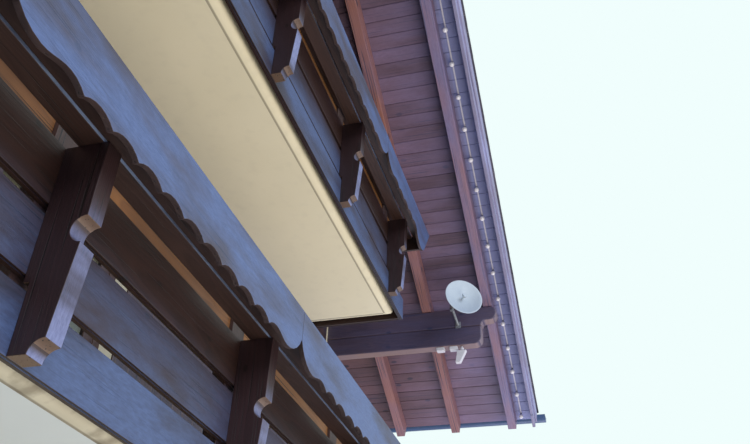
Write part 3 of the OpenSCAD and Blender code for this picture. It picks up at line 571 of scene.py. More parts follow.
# Rafters: an older red glaze under a faint painted blue sky light, strongest on the one next to the verge.
roof_stain = stained_spruce("spruce_red_glaze", "#7a4634", "#b98067", "#a98275", sky_light=0.2, knot_r=0.024,
                            figure=0.2, sky_reflection_colours=("#575c89", "#777fab"),
                            verge=(verge_y + 0.5, verge_y + 0.7, 0.66))
# Bargeboards: lilac grey that shows little of the wood, under painted pale blue sky light and sky reflection.
barge_stain = stained_spruce("spruce_verge_glaze", "#5f5568", "#8d8498", "#8d7f86", sky_reflection=0.75, sky_light=0.35,
                             sky_reflection_colours=("#8287b4", "#b4bae2"), shade_depths=(-0.2, -0.1))
# Roof boarding: wine brown under the house, paling outwards in painted sky light, with a painted bright
# strip of light at the very edge and painted blue shadow beside the last rafter.
boarding_stain = stained_spruce("spruce_boarding_glaze", "#30201f", "#75504a", "#7d4638", sky_light=0.1,
                                knot_r=0.024, figure=0.12, sky_reflection_colours=("#776a90", "#9f90b6"),
                                verge=(verge_y, verge_y + 2.1, 0.78),
                                strip=(verge_y + 0.16, "#8f9acb", "#555a8a"))
print(len(bpy.data.materials), "materials")

# %% [markdown]
# ## Parapets, brackets, shelves and aprons
# All of these are planks that were planed and eased by hand or router, so they all go through the
# same steps and differ in glaze. The parapet boards also have a drip groove below, a few
# millimetres from the face, where rain lets go. A plain box would lose that fine dark line as
# seen from underneath, so their section is drawn and pushed along the board's length.

# %% Parapet boards with a drip groove
DRIP = (0.009, 0.017, 0.007)
EASE = 0.004


def drip_section(thick, high):
    """Section of a parapet board as (depth behind its face, height): eased, with a drip groove."""
    third = EASE * 0.3
    near, far, deep = DRIP
    return [(0, EASE), (third, third), (EASE, 0), (near, 0), (near, deep), (far, deep), (far, 0),
            (thick - EASE, 0), (thick - third, third), (thick, EASE), (thick, high - EASE),
            (thick - third, high - third), (thick - EASE, high), (EASE, high), (third, high - third),
            (0, high - EASE)]


def extrude(bm, section, place, start, end):
    """A solid with that section between two stations; place turns section points into corners."""
    ends = [[bm.verts.new(place(station, *point)) for point in section] for station in (start, end)]
    for i in range(len(section)):
        bm.faces.new((ends[0][i], ends[0][i - 1], ends[1][i - 1], ends[1][i]))
    bm.faces.new(ends[0])
    bm.faces.new(list(reversed(ends[1])))


def drip_boards(node):
    """The node's parapet boards again, each with its groove, where the plain ones lie."""
    bm = bmesh.new()
    for low, high in boxes_of(node):
        wide, deep, tall = [high[i] - low[i] for i in range(3)]
        if wide > deep:
            section = drip_section(deep, tall)
            extrude(bm, section, lambda x, t, z: (x, low.y + t, low.z + z), low.x, high.x)
        else:
            section = drip_section(wide, tall)
            side, face = (1, high.x) if high.x > 0 else (-1, low.x)
            extrude(bm, section, lambda y, t, z: (face - side * t, y, low.z + z), low.y, high.y)
    bmesh.ops.recalc_face_normals(bm, faces=bm.faces)
    keep_sawn(node + "_timber", bm, node, dark_stain, replaces=[node])


print("groove", round((DRIP[1] - DRIP[0]) * 1000), "mm wide,", round(DRIP[2] * 1000), "mm deep")

# %% Balcony and roof timber
for storey in ("lower", "upper"):
    drip_boards(storey + "_boards")
    timber_node(storey + "_brackets", bracket_stain, arris=0.003)
    timber_node(storey + "_shelf", shelf_stain, arris=0.003)
    timber_node(storey + "_posts", brown_stain)
    timber_node(storey + "_rail_boards", warm_stain)
    timber_node(storey + "_handrail", brown_stain, arris=0.006)
    timber_node(storey + "_apron", apron_stain, arris=0.002)
timber_node("purlins", beam_stain, arris=0.016)
timber_node("corbels", beam_stain, arris=0.016)
timber_node("rafters", roof_stain, arris=0.005)
timber_node("bargeboards", barge_stain, arris=0.003)
timber_node("eaves_infill", roof_stain, arris=0.002)

# %% [markdown]
# ## Roof boarding
# What shows under the eaves is boarding: planks 145 mm wide across the rafters, each with a small
# bevel, so that every joint is a dark line. Lengths are joined over rafters, and the two rows at
# the eaves are 5 mm thinner, to leave room for the gutter's straps. One slab with a line pattern
# would be quicker, but it gives no shadow in the joints and no change of tint from board to
# board, so every board is laid.

# %% A roof slope as a grid
PITCH = math.radians(27)
RIDGE_JOINT = 0.001
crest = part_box("rafters")[1].z + RIDGE_JOINT * math.tan(PITCH)


def on_slope(side, down, up, y):
    """A point on a slope: metres down from the ridge, and square to it above the rafters."""
    return Vector((side * (down * math.cos(PITCH) + up * math.sin(PITCH)), y,
                   crest - down * math.sin(PITCH) + up * math.cos(PITCH)))


def down_at(node, up):
    """How far down the slope the node's outermost point lies, at that height above the rafters."""
    return (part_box(node)[1].x - up * math.sin(PITCH)) / math.cos(PITCH)


def add_box(bm, corner, along, across, up):
    """A block from one corner and its three edges."""
    corners = [corner + along * i + across * j + up * k for k in (0, 1) for j in (0, 1) for i in (0, 1)]
    v = [bm.verts.new(c) for c in corners]
    for loop in ((0, 2, 3, 1), (4, 5, 7, 6), (0, 1, 5, 4), (2, 6, 7, 3), (0, 4, 6, 2), (1, 3, 7, 5)):
        bm.faces.new([v[i] for i in loop])


def slope_box(bm, side, down, up, y):
    """A block between two distances down the slope, two heights above the rafters and two depths."""
    corner = on_slope(side, down[0], up[0], y[0])
    add_box(bm, corner, on_slope(side, down[1], up[0], y[0]) - corner, Vector((0, y[1] - y[0], 0)),
            on_slope(side, down[0], up[1], y[0]) - corner)


house_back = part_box("party_wall")[1].y
print("slope", round(down_at("roof_boarding", 0.024), 3), "m long")

# %% Lay the boards
BOARD = 0.145
BOARD_T = 0.024
BOARD_GAP = 0.002
BUTT_GAP = 0.001
BOARD_BEVEL = 0.004
STRAP_T = 0.005
STRAPPED_ROWS = 2
RIDGE_CLEAR = 0.004
RAFTERS_BACK = (-0.481, 0.35, 1.225, 2.1, 2.975)
eaves = down_at("roof_boarding", BOARD_T)
rows = round(eaves / BOARD)
joint_places = [wall_y + d for d in RAFTERS_BACK]
rng = random.Random("boarding")
bm = bmesh.new()
for side in (-1, 1):
    for row in range(rows):
        joint_y = rng.choice(joint_places)
        high = BOARD_T - STRAP_T if row >= rows - STRAPPED_ROWS else BOARD_T
        down = (max(RIDGE_CLEAR, eaves * row / rows), eaves * (row + 1) / rows - BOARD_GAP)
        for y in ((verge_y, joint_y - BUTT_GAP / 2), (joint_y + BUTT_GAP / 2, house_back)):
            slope_box(bm, side, down, (0, high), y)
bmesh.ops.recalc_face_normals(bm, faces=bm.faces)
ease_arrises(bm, BOARD_BEVEL, segments=1)
keep_sawn("sheathing_boards", bm, "boarding", boarding_stain, replaces=["roof_boarding"])
print(rows, "rows of boards a slope,", round(eaves / rows, 4), "m apart")

# %% [markdown]
# ## Clay tiles on battens
# The cover is interlocking clay tiles with an engobe, a dark slip fired on. Each hangs on a batten
# and laps over the tile below, so the roof is stepped and its verge shows a row of small teeth.
# An array of one tile would do, but tiles from one kiln differ a little in shade, so each carries
# its own tint. They are laid from the gauge of the battens, 333 mm, up each slope. The clay's real
# grit is under a millimetre, so it is drawn at 2.5 mm to show at all.

# %% Battens
BATTEN = (0.030, 0.050)
GAUGE = 0.333
COVER_T = 0.050
HEAD_BACK = 0.03
COUNTER_BATTENS = 8
EAVES_BACK = 0.05
cover_low = BOARD_T
cover_high = cover_low + 2 * BATTEN[0]
tile_eaves = down_at("roof_cover", cover_high + COVER_T)
tile_rows = int((tile_eaves - EAVES_BACK) / GAUGE) + 1
bm = bmesh.new()
for side in (-1, 1):
    for row in range(tile_rows):
        top = tile_eaves - row * GAUGE - GAUGE - HEAD_BACK
        if top > HEAD_BACK:
            slope_box(bm, side, (top, top + BATTEN[1]), (cover_low + BATTEN[0], cover_high),
                      (verge_y, house_back))
    for i in range(COUNTER_BATTENS):
        y = verge_y + (house_back - verge_y - BATTEN[1]) * i / (COUNTER_BATTENS - 1)
        slope_box(bm, side, (HEAD_BACK, eaves - EAVES_BACK), (cover_low, cover_low + BATTEN[0]),
                  (y, y + BATTEN[1]))
bmesh.ops.recalc_face_normals(bm, faces=bm.faces)
keep_sawn("tile_battens", bm, "battens", boarding_stain)
print(tile_rows, "rows of tiles a slope")

# %% Clay material
GRIT_MM = 2.5
DUST_MM = 111.1
LICHEN_MM = 18.18
LICHEN = "#8b8c80"


def fired_clay(name, dark, light):
    """Clay with an engobe between two colours, speckled by grit, with lichen where dust gathers."""
    material, tree, shader = blank_material(name)
    place = add(tree, "NewGeometry").outputs["Position"]
    tint = add(tree, "Attribute", attribute_name="tint").outputs["Fac"]
    grit = add(tree, "TexNoise", {"Vector": place, "Scale": per_metre(GRIT_MM), "Detail": 3.0})
    dust = add(tree, "TexNoise", {"Vector": place, "Scale": per_metre(DUST_MM), "Detail": 5.0})
    lichen = add(tree, "TexVoronoi", {"Vector": place, "Scale": per_metre(LICHEN_MM)})
    spots = add(tree, "MapRange", {0: lichen.outputs["Distance"], 1: 0.30, 2: 0.18})
    patch = add(tree, "MapRange", {0: dust.outputs[0], 1: 0.52, 2: 0.66})
    grown = add(tree, "Math", {0: spots.outputs[0], 1: patch.outputs[0]}, operation="MULTIPLY")
    shade = add(tree, "Math", {0: tint, 1: 0.6, 2: -0.1}, operation="MULTIPLY_ADD")
    shade = add(tree, "Math", {0: dust.outputs[0], 1: 0.6, 2: shade.outputs[0]}, operation="MULTIPLY_ADD",
                use_clamp=True)
    slip = add(tree, "Mix", {0: shade.outputs[0], 6: linear(dark), 7: linear(light)}, data_type="RGBA")
    aged = add(tree, "Mix", {0: grown.outputs[0], 6: slip.outputs[2], 7: linear(LICHEN)}, data_type="RGBA")
    tree.links.new(aged.outputs[2], shader.inputs["Base Color"])
    rough = add(tree, "MapRange", {0: grit.outputs[0], 3: 0.55, 4: 0.85})
    tree.links.new(rough.outputs[0], shader.inputs["Roughness"])
    relief = add(tree, "Bump", {"Strength": 0.4, "Distance": 0.0006, "Height": grit.outputs[0]})
    tree.links.new(relief.outputs[0], shader.inputs["Normal"])
    return material


# Engobed clay: a matt blue-black roof that is never one colour, since every tile was fired apart.
engobed_clay = fired_clay("clay_dark_engobe", "#2a2a38", "#4a4654")
print("grit", GRIT_MM, "mm, lichen spots", LICHEN_MM, "mm apart")

# %% One tile
TILE_W = 0.25
TILE_L = 0.42
TILE_T = 0.012
ROLL = 0.016
LIFT = 0.018
STEPS = 8
TILE_HEAD = 0.02
# What lies on something stays 1 mm off it, so that no two faces share a plane.
CLEAR = 0.001
verge_tiles_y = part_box("roof_cover")[0].y
tiles_across = round((house_back - verge_tiles_y) / TILE_W)
tile_w = (house_back - verge_tiles_y) / tiles_across


def roll(u):
    """Height of the tile's double roll at that share of its width."""
    return ROLL * (0.5 + 0.5 * math.cos(4 * math.pi * u)) ** 1.5


def lay_tile(bm, tint, shade, side, tail, y):
    """One tile: its head lies on a batten, its tail on the tile below."""
    head = max(TILE_HEAD, tail - TILE_L)
    rise = LIFT * (tail - head) / TILE_L
    rings = []
    for down, base in ((head, cover_high + CLEAR), (tail, cover_high + CLEAR + rise)):
        for thick in (0, TILE_T):
            rings.append([bm.verts.new(on_slope(side, down, base + thick + roll(i / STEPS),
                                                y + tile_w * i / STEPS)) for i in range(STEPS + 1)])
    head_low, head_top, tail_low, tail_top = rings
    for ring in rings:
        for vertex in ring:
            vertex[tint] = shade
    for i in range(STEPS):
        bm.faces.new((head_top[i], head_top[i + 1], tail_top[i + 1], tail_top[i]))
        bm.faces.new((head_low[i + 1], head_low[i], tail_low[i], tail_low[i + 1]))
        bm.faces.new((tail_top[i], tail_top[i + 1], tail_low[i + 1], tail_low[i]))
        bm.faces.new((head_top[i + 1], head_top[i], head_low[i], head_low[i + 1]))
    bm.faces.new((head_top[0], tail_top[0], tail_low[0], head_low[0]))
    bm.faces.new((tail_top[-1], head_top[-1], head_low[-1], tail_low[-1]))


print("tiles", round(tile_w * 1000), "mm wide, lapped", round((TILE_L - GAUGE) * 1000), "mm")

# %% Lay the tiles
rng = random.Random("tiles")
bm = bmesh.new()
tile_tint = bm.verts.layers.float.new("tint")
for side in (-1, 1):
    for row in range(tile_rows):
        for i in range(tiles_across):
            lay_tile(bm, tile_tint, rng.random(), side, tile_eaves - row * GAUGE, verge_tiles_y + i * tile_w)
bmesh.ops.recalc_face_normals(bm, faces=bm.faces)
keep("roof_tiles", bm, [engobed_clay], replaces=["roof_cover"])

# %% [markdown]
# ## Ridge tiles
# The ridge is closed by half round tiles, each slipped a little over the next. One long half
# round bar would close it too, but from the ground the laps show as small steps in the outline.
# So it is a row of shells that narrow by 8 mm along their length, and each starts over the last.

# %% Ridge
RIDGE_R = (0.112, 0.120)
RIDGE_T = 0.014
RIDGE_L = 0.40
RIDGE_LAP = 0.03
RIDGE_ARC = 16
cap_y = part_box("ridge_cap")[0].y
cap_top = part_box("ridge_cap")[1].z
count = round((house_back - cap_y) / RIDGE_L)
step = (house_back - cap_y) / count
arc = [math.radians(-4 + 188 * i / RIDGE_ARC) for i in range(RIDGE_ARC + 1)]
bm = bmesh.new()
tile_tint = bm.verts.layers.float.new("tint")
for k in range(count):
    start = cap_y + k * step
    rings = []
    for y, outer in ((start, RIDGE_R[1]), (min(start + step + RIDGE_LAP, house_back), RIDGE_R[0])):
        for radius in (outer, outer - RIDGE_T):
            rings.append([bm.verts.new((radius * math.cos(a), y, cap_top - RIDGE_R[1] + radius * math.sin(a)))
                          for a in arc])
    shade = rng.random()
    for ring in rings:
        for vertex in ring:
            vertex[tile_tint] = shade
    near_out, near_in, far_out, far_in = rings
    for a, b in ((near_out, far_out), (far_in, near_in), (near_in, near_out), (far_out, far_in)):
        for i in range(RIDGE_ARC):
            bm.faces.new((a[i], a[i + 1], b[i + 1], b[i]))
    for i in (0, -1):
        bm.faces.new((near_out[i], far_out[i], far_in[i], near_in[i]))
bmesh.ops.recalc_face_normals(bm, faces=bm.faces)
keep("ridge_tiles", bm, [engobed_clay], replaces=["ridge_cap"])
print(count, "ridge tiles,", round(step, 3), "m apart")

# %% [markdown]
# ## Plaster and concrete
# Walls and soffits are lime plaster, floated by hand: nearly even, with faint clouds where the
# float passed and a sandy grain that only shows in the light along the surface. Rain leaves grey
# streaks below edges. The waves of the float could be real shape, but they are under a millimetre
# deep, so bump is enough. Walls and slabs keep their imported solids, whose flat faces are already
# right, and only the material is set.

# %% Plaster material
FLOAT_MM = 454.5
RAIN_MM = (111.1, 111.1, 1111)
# Colour of the thin line of painted shade where a moulding meets the soffit.
CORNER_SHADE = "#5b5140"


def lime_plaster(name, pale, dull, stain, grain_mm=2.0, stained=0.35, under=None):
    """Floated plaster between two colours, with sand of that size, a stain in streaks, painted shade
    where the value "recess" is set, and under, the colour of faces that look down."""
    material, tree, shader = blank_material(name)
    surface = add(tree, "NewGeometry")
    place = surface.outputs["Position"]
    sand = add(tree, "TexNoise", {"Vector": place, "Scale": per_metre(grain_mm), "Detail": 2.0})
    clouds = add(tree, "TexNoise", {"Vector": place, "Scale": per_metre(FLOAT_MM), "Detail": 4.0})
    streaks = drawn_noise(tree, place, RAIN_MM, 4.0)
    grey = add(tree, "MapRange", {0: streaks, 1: 0.52, 2: 0.75, 3: 0.0, 4: stained})
    recess = add(tree, "Attribute", attribute_name="recess").outputs["Fac"]
    corner_shade = add(tree, "MapRange", {0: recess, 1: 0.45, 2: 0.95, 3: 0.0, 4: 0.55})
    coat = add(tree, "Mix", {0: clouds.outputs[0], 6: linear(dull), 7: linear(pale)}, data_type="RGBA")
    layers = [(grey, stain), (corner_shade, CORNER_SHADE)]
    if under:
        upright = add(tree, "SeparateXYZ", {0: surface.outputs["True Normal"]}).outputs[2]
        layers.append((add(tree, "MapRange", {0: upright, 1: -0.5, 2: -0.8, 3: 0.0, 4: 0.75}), under))
    for share, colour in layers:
        coat = add(tree, "Mix", {0: share.outputs[0], 6: coat.outputs[2], 7: linear(colour)},
                   data_type="RGBA")
    tree.links.new(coat.outputs[2], shader.inputs["Base Color"])
    rough = add(tree, "MapRange", {0: sand.outputs[0], 3: 0.8, 4: 0.95})
    tree.links.new(rough.outputs[0], shader.inputs["Roughness"])
    waves = add(tree, "Math", {0: clouds.outputs[0], 1: 4.0, 2: sand.outputs[0]}, operation="MULTIPLY_ADD")
    relief = add(tree, "Bump", {"Strength": 0.3, "Distance": 0.0003, "Height": waves.outputs[0]})
    tree.links.new(relief.outputs[0], shader.inputs["Normal"])
    return material


# Walls and the upper soffit: warm cream, almost even, so that it reads as one calm plane.
cream_plaster = lime_plaster("lime_plaster_cream", "#efe8ca", "#e6dfc0", "#bfb8a2", stained=0.12)
# The party wall: plain and coarser, as a side that no one was meant to look at.
party_plaster = lime_plaster("lime_plaster_grey", "#d2cdbd", "#c3bdae", "#a09b8d", grain_mm=3.0, stained=0.15)
# The lower slab: the same cream, but a cool blue-white on faces that look down.
slab_plaster = lime_plaster("lime_plaster_slab", "#efe8ca", "#e6dfc0", "#bfb8a2", stained=0.12,
                            under="#cddbe3")
# Mouldings: run with fine sand, so smooth and a shade lighter; the lower one is grey with damp.
trim_plaster = lime_plaster("lime_plaster_trim", "#f2ebcd", "#e4dcba", "#b5ae98", grain_mm=1.0, stained=0.2)
damp_plaster = lime_plaster("lime_plaster_damp_trim", "#d8d3bb", "#b0a88e", "#6a5f4c", grain_mm=1.0,
                            stained=0.6)
# Concrete: grey and coarse, and hardly ever seen.
cast_concrete = lime_plaster("concrete_cast", "#a3a29b", "#8f8e87", "#6f6e68", grain_mm=4.0)
print(len(bpy.data.materials), "materials")

# %% Plaster on the solids
def repaint(node, material):
    """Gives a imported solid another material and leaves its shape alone."""
    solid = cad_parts[node]
    if not solid.data.materials:
        solid.data.materials.append(material)
    for holder in solid.material_slots:
        holder.material = material


CREAM_NODES = ("upper_floor_slab", "ground_front_wall", "lower_front_wall", "gable_wall", "left_wall",
               "right_wall")
for node in CREAM_NODES:
    repaint(node, cream_plaster)
repaint("lower_floor_slab", slab_plaster)
repaint("party_wall", party_plaster)
repaint("ground_slab", cast_concrete)
print("cream plaster on", len(CREAM_NODES), "solids")

# %% [markdown]
# ## Soffit mouldings
# A plaster moulding with a bead runs round each slab, pulled along with a cut template while the
# plaster was soft. Beside it, in the corner at the soffit, shade falls in a thin dark line. That
# line could be modelled as a groove. Here the corners there get a value, "recess", and the plaster
# paints it as a dark line of shade, so the moulding keeps its section.

# %% Mouldings
CORNER = 0.001
MOULDING_CREASE = 14
for storey, plaster in (("lower", damp_plaster), ("upper", trim_plaster)):
    bm = solids_of_node(storey + "_soffit_moulding")
    recess = bm.verts.layers.float.new("recess")
    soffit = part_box(storey + "_floor_slab")[0].z
    corners = [v for v in bm.verts if abs(v.co.z - soffit) < CORNER]
    for vertex in corners:
        vertex[recess] = 1.0
    print(len(corners), "corners of the", storey, "moulding lie at the soffit")
    keep(storey + "_plaster_moulding", bm, [plaster],
         replaces=[storey + "_soffit_moulding"], crease=MOULDING_CREASE)

# %% [markdown]
# ## Board cladding behind the balconies
# Through the gaps between the parapet boards the wall behind looks dark, as on many such houses,
# where the balcony storeys are clad with upright boards and only the ground storey is plastered.
# A joiner rips the boards beside an opening to its edge and cuts them off above and below it, so
# the edges of openings and beams join the regular joints, and each board is split where it meets
# one. Cutting holes into a sheet would be quicker, but it leaves no joint and no end grain.

# %% Openings, read from the frames in them
OPENING_LEAST = 0.5
FRONT_ROOM = 0.3
front_holes = [box for node in ("doors", "window_frames") for box in boxes_of(node)
               if box[1].x - box[0].x > OPENING_LEAST and box[0].y < wall_y + FRONT_ROOM]
print(len(front_holes), "openings in the front")

# %% Upright boards
CLAD_W = 0.16
CLAD_T = 0.018
CLAD_GAP = 0.003
CLAD_LEAST = (0.008, 0.03)
CLAD_BEVEL = 0.004
STOREY = 2.6
RAFTER_H = 0.18
LAP_AT_RAFTERS = 0.1
bm = bmesh.new()
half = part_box("lower_front_wall")[1].x
columns = round(2 * half / CLAD_W)
cut_round = front_holes + boxes_of("purlins") + boxes_of("corbels")


def clad_column(x0, x1, z0, z1):
    """Boards between two levels, cut out where an opening or a beam crosses the column."""
    cuts = [(low.z, high.z) for low, high in cut_round if low.x < x1 and high.x > x0]
    level = z0
    for low, high in sorted(cuts) + [(z1, z1)]:
        top = min(low, z1)
        if top - level > CLAD_LEAST[1]:
            add_box(bm, Vector((x0, wall_y - CLAD_T, level)), Vector((x1 - x0 - CLAD_GAP, 0, 0)),
                    Vector((0, CLAD_T - CLEAR, 0)), Vector((0, 0, top - level)))
        level = max(level, high)


def clad_storey(z0, top_at):
    """Boards of one storey; top_at gives their upper end from the distance to the middle."""
    edges = [-half + 2 * half * i / columns for i in range(columns + 1)]
    for low, high in cut_round:
        if high.z > z0 and low.z < z0 + STOREY:
            edges += [x for x in (low.x, high.x) if abs(x) < half]
    edges.sort()
    for x0, x1 in zip(edges, edges[1:]):
        if x1 - x0 > CLAD_LEAST[0]:
            clad_column(x0, x1, z0, top_at(max(abs(x0), abs(x1))))


def below_rafters(x):
    """Upper end of a gable board: a little way up between the rafters."""
    return crest - RAFTER_H / math.cos(PITCH) - x * math.tan(PITCH) + LAP_AT_RAFTERS


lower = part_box("lower_front_wall")
clad_storey(lower[0].z, lambda x: lower[1].z)
clad_storey(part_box("gable_wall")[0].z, below_rafters)
bmesh.ops.recalc_face_normals(bm, faces=bm.faces)
ease_arrises(bm, CLAD_BEVEL, segments=1)
keep_sawn("wall_cladding", bm, "cladding", brown_stain)

# %% [markdown]
# ## Doors and windows
# Doors and windows are brown spruce joinery. They could be drawn anew from profiles, but the
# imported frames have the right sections, so they are eased and stained like the rest. Boards
# planted on the leaves and a sill under each window are what the eye looks for from close by, and
# a few blocks give them.

# %% Joinery
DOOR_LEAST = 1.8
FRAME_W = 0.07
STILE = 0.08
PLANKS = 5
PLANK_GAP = 0.004
PLANK_T = 0.0145
PLANK_FOOT = 0.13
PLANK_L = 0.68
LEAF_BACK = 0.022
SILL_HORN = 0.05
SILL_PROUD = 0.055
SILL_BELOW = 0.035
SILL = (0.16, 0.033)
timber_node("doors", brown_stain, arris=0.003)
timber_node("window_frames", brown_stain, arris=0.003)

bm = bmesh.new()
for low, high in front_holes:
    middle = (low.x + high.x) / 2
    if high.z - low.z > DOOR_LEAST:
        width = ((high.x - low.x) / 2 - FRAME_W - 2 * STILE) / PLANKS
        for side in (-1, 1):
            for i in range(PLANKS):
                x = middle + side * STILE + side * i * width
                add_box(bm, Vector((x, low.y + LEAF_BACK, low.z + PLANK_FOOT)),
                        Vector((side * (width - PLANK_GAP), 0, 0)), Vector((0, PLANK_T, 0)),
                        Vector((0, 0, PLANK_L)))
    else:
        add_box(bm, Vector((low.x - SILL_HORN, wall_y - SILL_PROUD, low.z - SILL_BELOW)),
                Vector((high.x - low.x + 2 * SILL_HORN, 0, 0)), Vector((0, SILL[0], 0)),
                Vector((0, 0, SILL[1])))
bmesh.ops.recalc_face_normals(bm, faces=bm.faces)
ease_arrises(bm, 0.003)
keep_sawn("door_panels_and_sills", bm, "joinery", brown_stain)
door_holes = [(low, high) for low, high in front_holes if high.z - low.z > DOOR_LEAST]
print(len(door_holes), "doors and", len(front_holes) - len(door_holes), "windows in the front")

# %% [markdown]
# ## Metal
# Sheet and cast metal is never quite even: its coat has a fine orange peel, zinc grows in
# spangles, and dirt lies on it in clouds. Real peel is under a millimetre, too fine for this
# picture, so it is drawn at 2.5 mm and up, as coarse as it needs to show. One function makes them
# all, since they differ only in colour, shine and grain.

# %% Coated and bare metal
DIRT_MM = 71.43


def coated_metal(name, colour, dull, metallic, rough, grain_mm=6.0, dirty=1.0):
    """Sheet or cast metal: peel or spangle of that size, and clouds of the duller colour."""
    material, tree, shader = blank_material(name, Metallic=metallic)
    place = add(tree, "NewGeometry").outputs["Position"]
    peel = add(tree, "TexVoronoi", {"Vector": place, "Scale": per_metre(grain_mm)}).outputs["Distance"]
    dirt = add(tree, "TexNoise", {"Vector": place, "Scale": per_metre(DIRT_MM), "Detail": 5.0})
    share = add(tree, "MapRange", {0: dirt.outputs[0], 1: 0.42, 2: 0.75, 3: 0.0, 4: dirty})
    spangle = add(tree, "Mix", {0: peel, 6: linear(colour), 7: linear(dull)}, data_type="RGBA")
    aged = add(tree, "Mix", {0: share.outputs[0], 6: spangle.outputs[2], 7: linear(dull)}, data_type="RGBA")
    tree.links.new(aged.outputs[2], shader.inputs["Base Color"])
    patchy = add(tree, "MapRange", {0: dirt.outputs[0], 3: rough - 0.1, 4: rough + 0.15})
    tree.links.new(patchy.outputs[0], shader.inputs["Roughness"])
    relief = add(tree, "Bump", {"Strength": 0.25, "Distance": 0.00015, "Height": peel})
    tree.links.new(relief.outputs[0], shader.inputs["Normal"])
    return material


# Coil coated steel: a satin blue film, the one saturated line along the eaves.
coated_blue = coated_metal("steel_blue_coil_coating", "#45628c", "#334866", 0.0, 0.38, 3.0, dirty=0.5)
# Hot dip galvanised steel: pale spangled zinc that glints less than bright steel.
galvanised = coated_metal("steel_galvanised", "#b4bac0", "#868c92", 0.6, 0.5, 9.0)
# Powder coats: soft white with a painted bluish sky light in it; the lamp's is cast and a little whiter.
powder_white = coated_metal("steel_white_powder_coat", "#c9d5d9", "#a7b7c3", 0.0, 0.42, 2.5, dirty=0.3)
lamp_white = coated_metal("aluminium_white_powder_coat", "#e6e6e8", "#bdbdc2", 0.0, 0.45, 2.5, dirty=0.6)
# Lacquered brass: a warm glint on the doors.
brass = coated_metal("brass_lacquered", "#b08d4a", "#7d6534", 1.0, 0.32, 5.0)
print(len(bpy.data.materials), "materials")

# %% Turned parts
TURN_STEPS = 20


def turned(bm, origin, axis, profile, segments=TURN_STEPS):
    """A closed turned form from (distance along the axis, radius) points, ends closed flat."""
    axis = axis.normalized()
    across = axis.orthogonal().normalized()
    other = axis.cross(across)
    angles = [2 * math.pi * k / segments for k in range(segments)]
    spokes = [across * math.cos(a) + other * math.sin(a) for a in angles]
    rings = [[bm.verts.new(origin + axis * along + spoke * radius) for spoke in spokes]
             for along, radius in profile]
    for low, high in zip(rings, rings[1:]):
        for k in range(segments):
            bm.faces.new((low[k - 1], low[k], high[k], high[k - 1]))
    bm.faces.new(list(reversed(rings[0])))
    bm.faces.new(rings[-1])


print("a turned part has", TURN_STEPS, "sides unless it says otherwise")

# %% Handles
ROSE = [(-0.012, 0.026), (0.004, 0.026), (0.007, 0.022), (0.008, 0.010), (0.045, 0.010), (0.048, 0.007)]
LEVER = [(0, 0.006), (0.003, 0.0095), (0.06, 0.009), (0.118, 0.0075), (0.125, 0.004)]
HUB = (0.045, 0.036, 1.05)
LEVER_ROOT = Vector((-0.008, -0.040, 0))
bm = bmesh.new()
for low, high in door_holes:
    hub = Vector(((low.x + high.x) / 2 + HUB[0], low.y + HUB[1], low.z + HUB[2]))
    turned(bm, hub, Vector((0, -1, 0)), ROSE)
    turned(bm, hub + LEVER_ROOT, Vector((1, 0, 0)), LEVER)
bmesh.ops.recalc_face_normals(bm, faces=bm.faces)
keep("door_handles", bm, [brass])

# %% [markdown]
# ## Window glass
# Double glazing is clear float glass. A blue tint is the quick way and looks like plastic. What
# makes it read as glass is a sharp reflection that bends a little where the panes are not quite
# flat, so the bump is very low and very wide.

# %% Glass
WAVE_MM = 333.3
FILM_MM = 33.33
# Float glass: clear, with a hard reflection of the sky and the faintest film of dust.
float_glass, tree, shader = blank_material("glass_float", Roughness=0.02, IOR=1.5)
shader.inputs["Transmission Weight"].default_value = 1.0
place = add(tree, "NewGeometry").outputs["Position"]
bend = add(tree, "TexNoise", {"Vector": place, "Scale": per_metre(WAVE_MM), "Detail": 1.0})
film = add(tree, "TexNoise", {"Vector": place, "Scale": per_metre(FILM_MM), "Detail": 4.0})
pane = add(tree, "Mix", {0: film.outputs[0], 6: linear("#e9f2f2"), 7: linear("#cfdcdc")}, data_type="RGBA")
tree.links.new(pane.outputs[2], shader.inputs["Base Color"])
relief = add(tree, "Bump", {"Strength": 0.2, "Distance": 0.002, "Height": bend.outputs[0]})
tree.links.new(relief.outputs[0], shader.inputs["Normal"])
repaint("glazing", float_glass)
print("glass on", len(boxes_of("glazing")), "panes")

# %% [markdown]
# ## Gutters and their straps
# The gutter is rolled from steel sheet with a blue baked coating, and hangs in galvanised straps.
# A profile pushed along the eaves would make it again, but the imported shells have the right
# radius and bead already, so they only need rounder shading.

# %% Gutters
keep("gutter_sheets", solids_of_node("gutters"), [coated_blue], replaces=["gutters"])
keep("gutter_straps", solids_of_node("gutter_brackets"), [galvanised],
     replaces=["gutter_brackets"])

# %% [markdown]
# ## Flower boxes
# The boxes are stained like the parapet and filled with potting soil. Soil is never flat, and a
# displace modifier would raise its edges too. So a fine grid in the opening of each box is lifted
# by noise in code, all but its rim, which shows as crumbs.

# %% Soil material
CRUMB_MM = 7.143
DAMP_MM = 83.33
# Potting soil: dark, loose and without any shine, which makes a box look filled.
soil, tree, shader = blank_material("potting_soil", Roughness=0.95)
place = add(tree, "NewGeometry").outputs["Position"]
crumbs = add(tree, "TexVoronoi", {"Vector": place, "Scale": per_metre(CRUMB_MM)}).outputs["Distance"]
damp = add(tree, "TexNoise", {"Vector": place, "Scale": per_metre(DAMP_MM), "Detail": 4.0})
earth = add(tree, "Mix", {0: crumbs, 6: linear("#1d1410"), 7: linear("#4a372a")}, data_type="RGBA")
mulch = add(tree, "Mix", {0: damp.outputs[0], 6: earth.outputs[2], 7: linear("#33261e")}, data_type="RGBA")
tree.links.new(mulch.outputs[2], shader.inputs["Base Color"])
relief = add(tree, "Bump", {"Strength": 0.8, "Distance": 0.004, "Height": crumbs})
tree.links.new(relief.outputs[0], shader.inputs["Normal"])
print("crumbs", CRUMB_MM, "mm across")

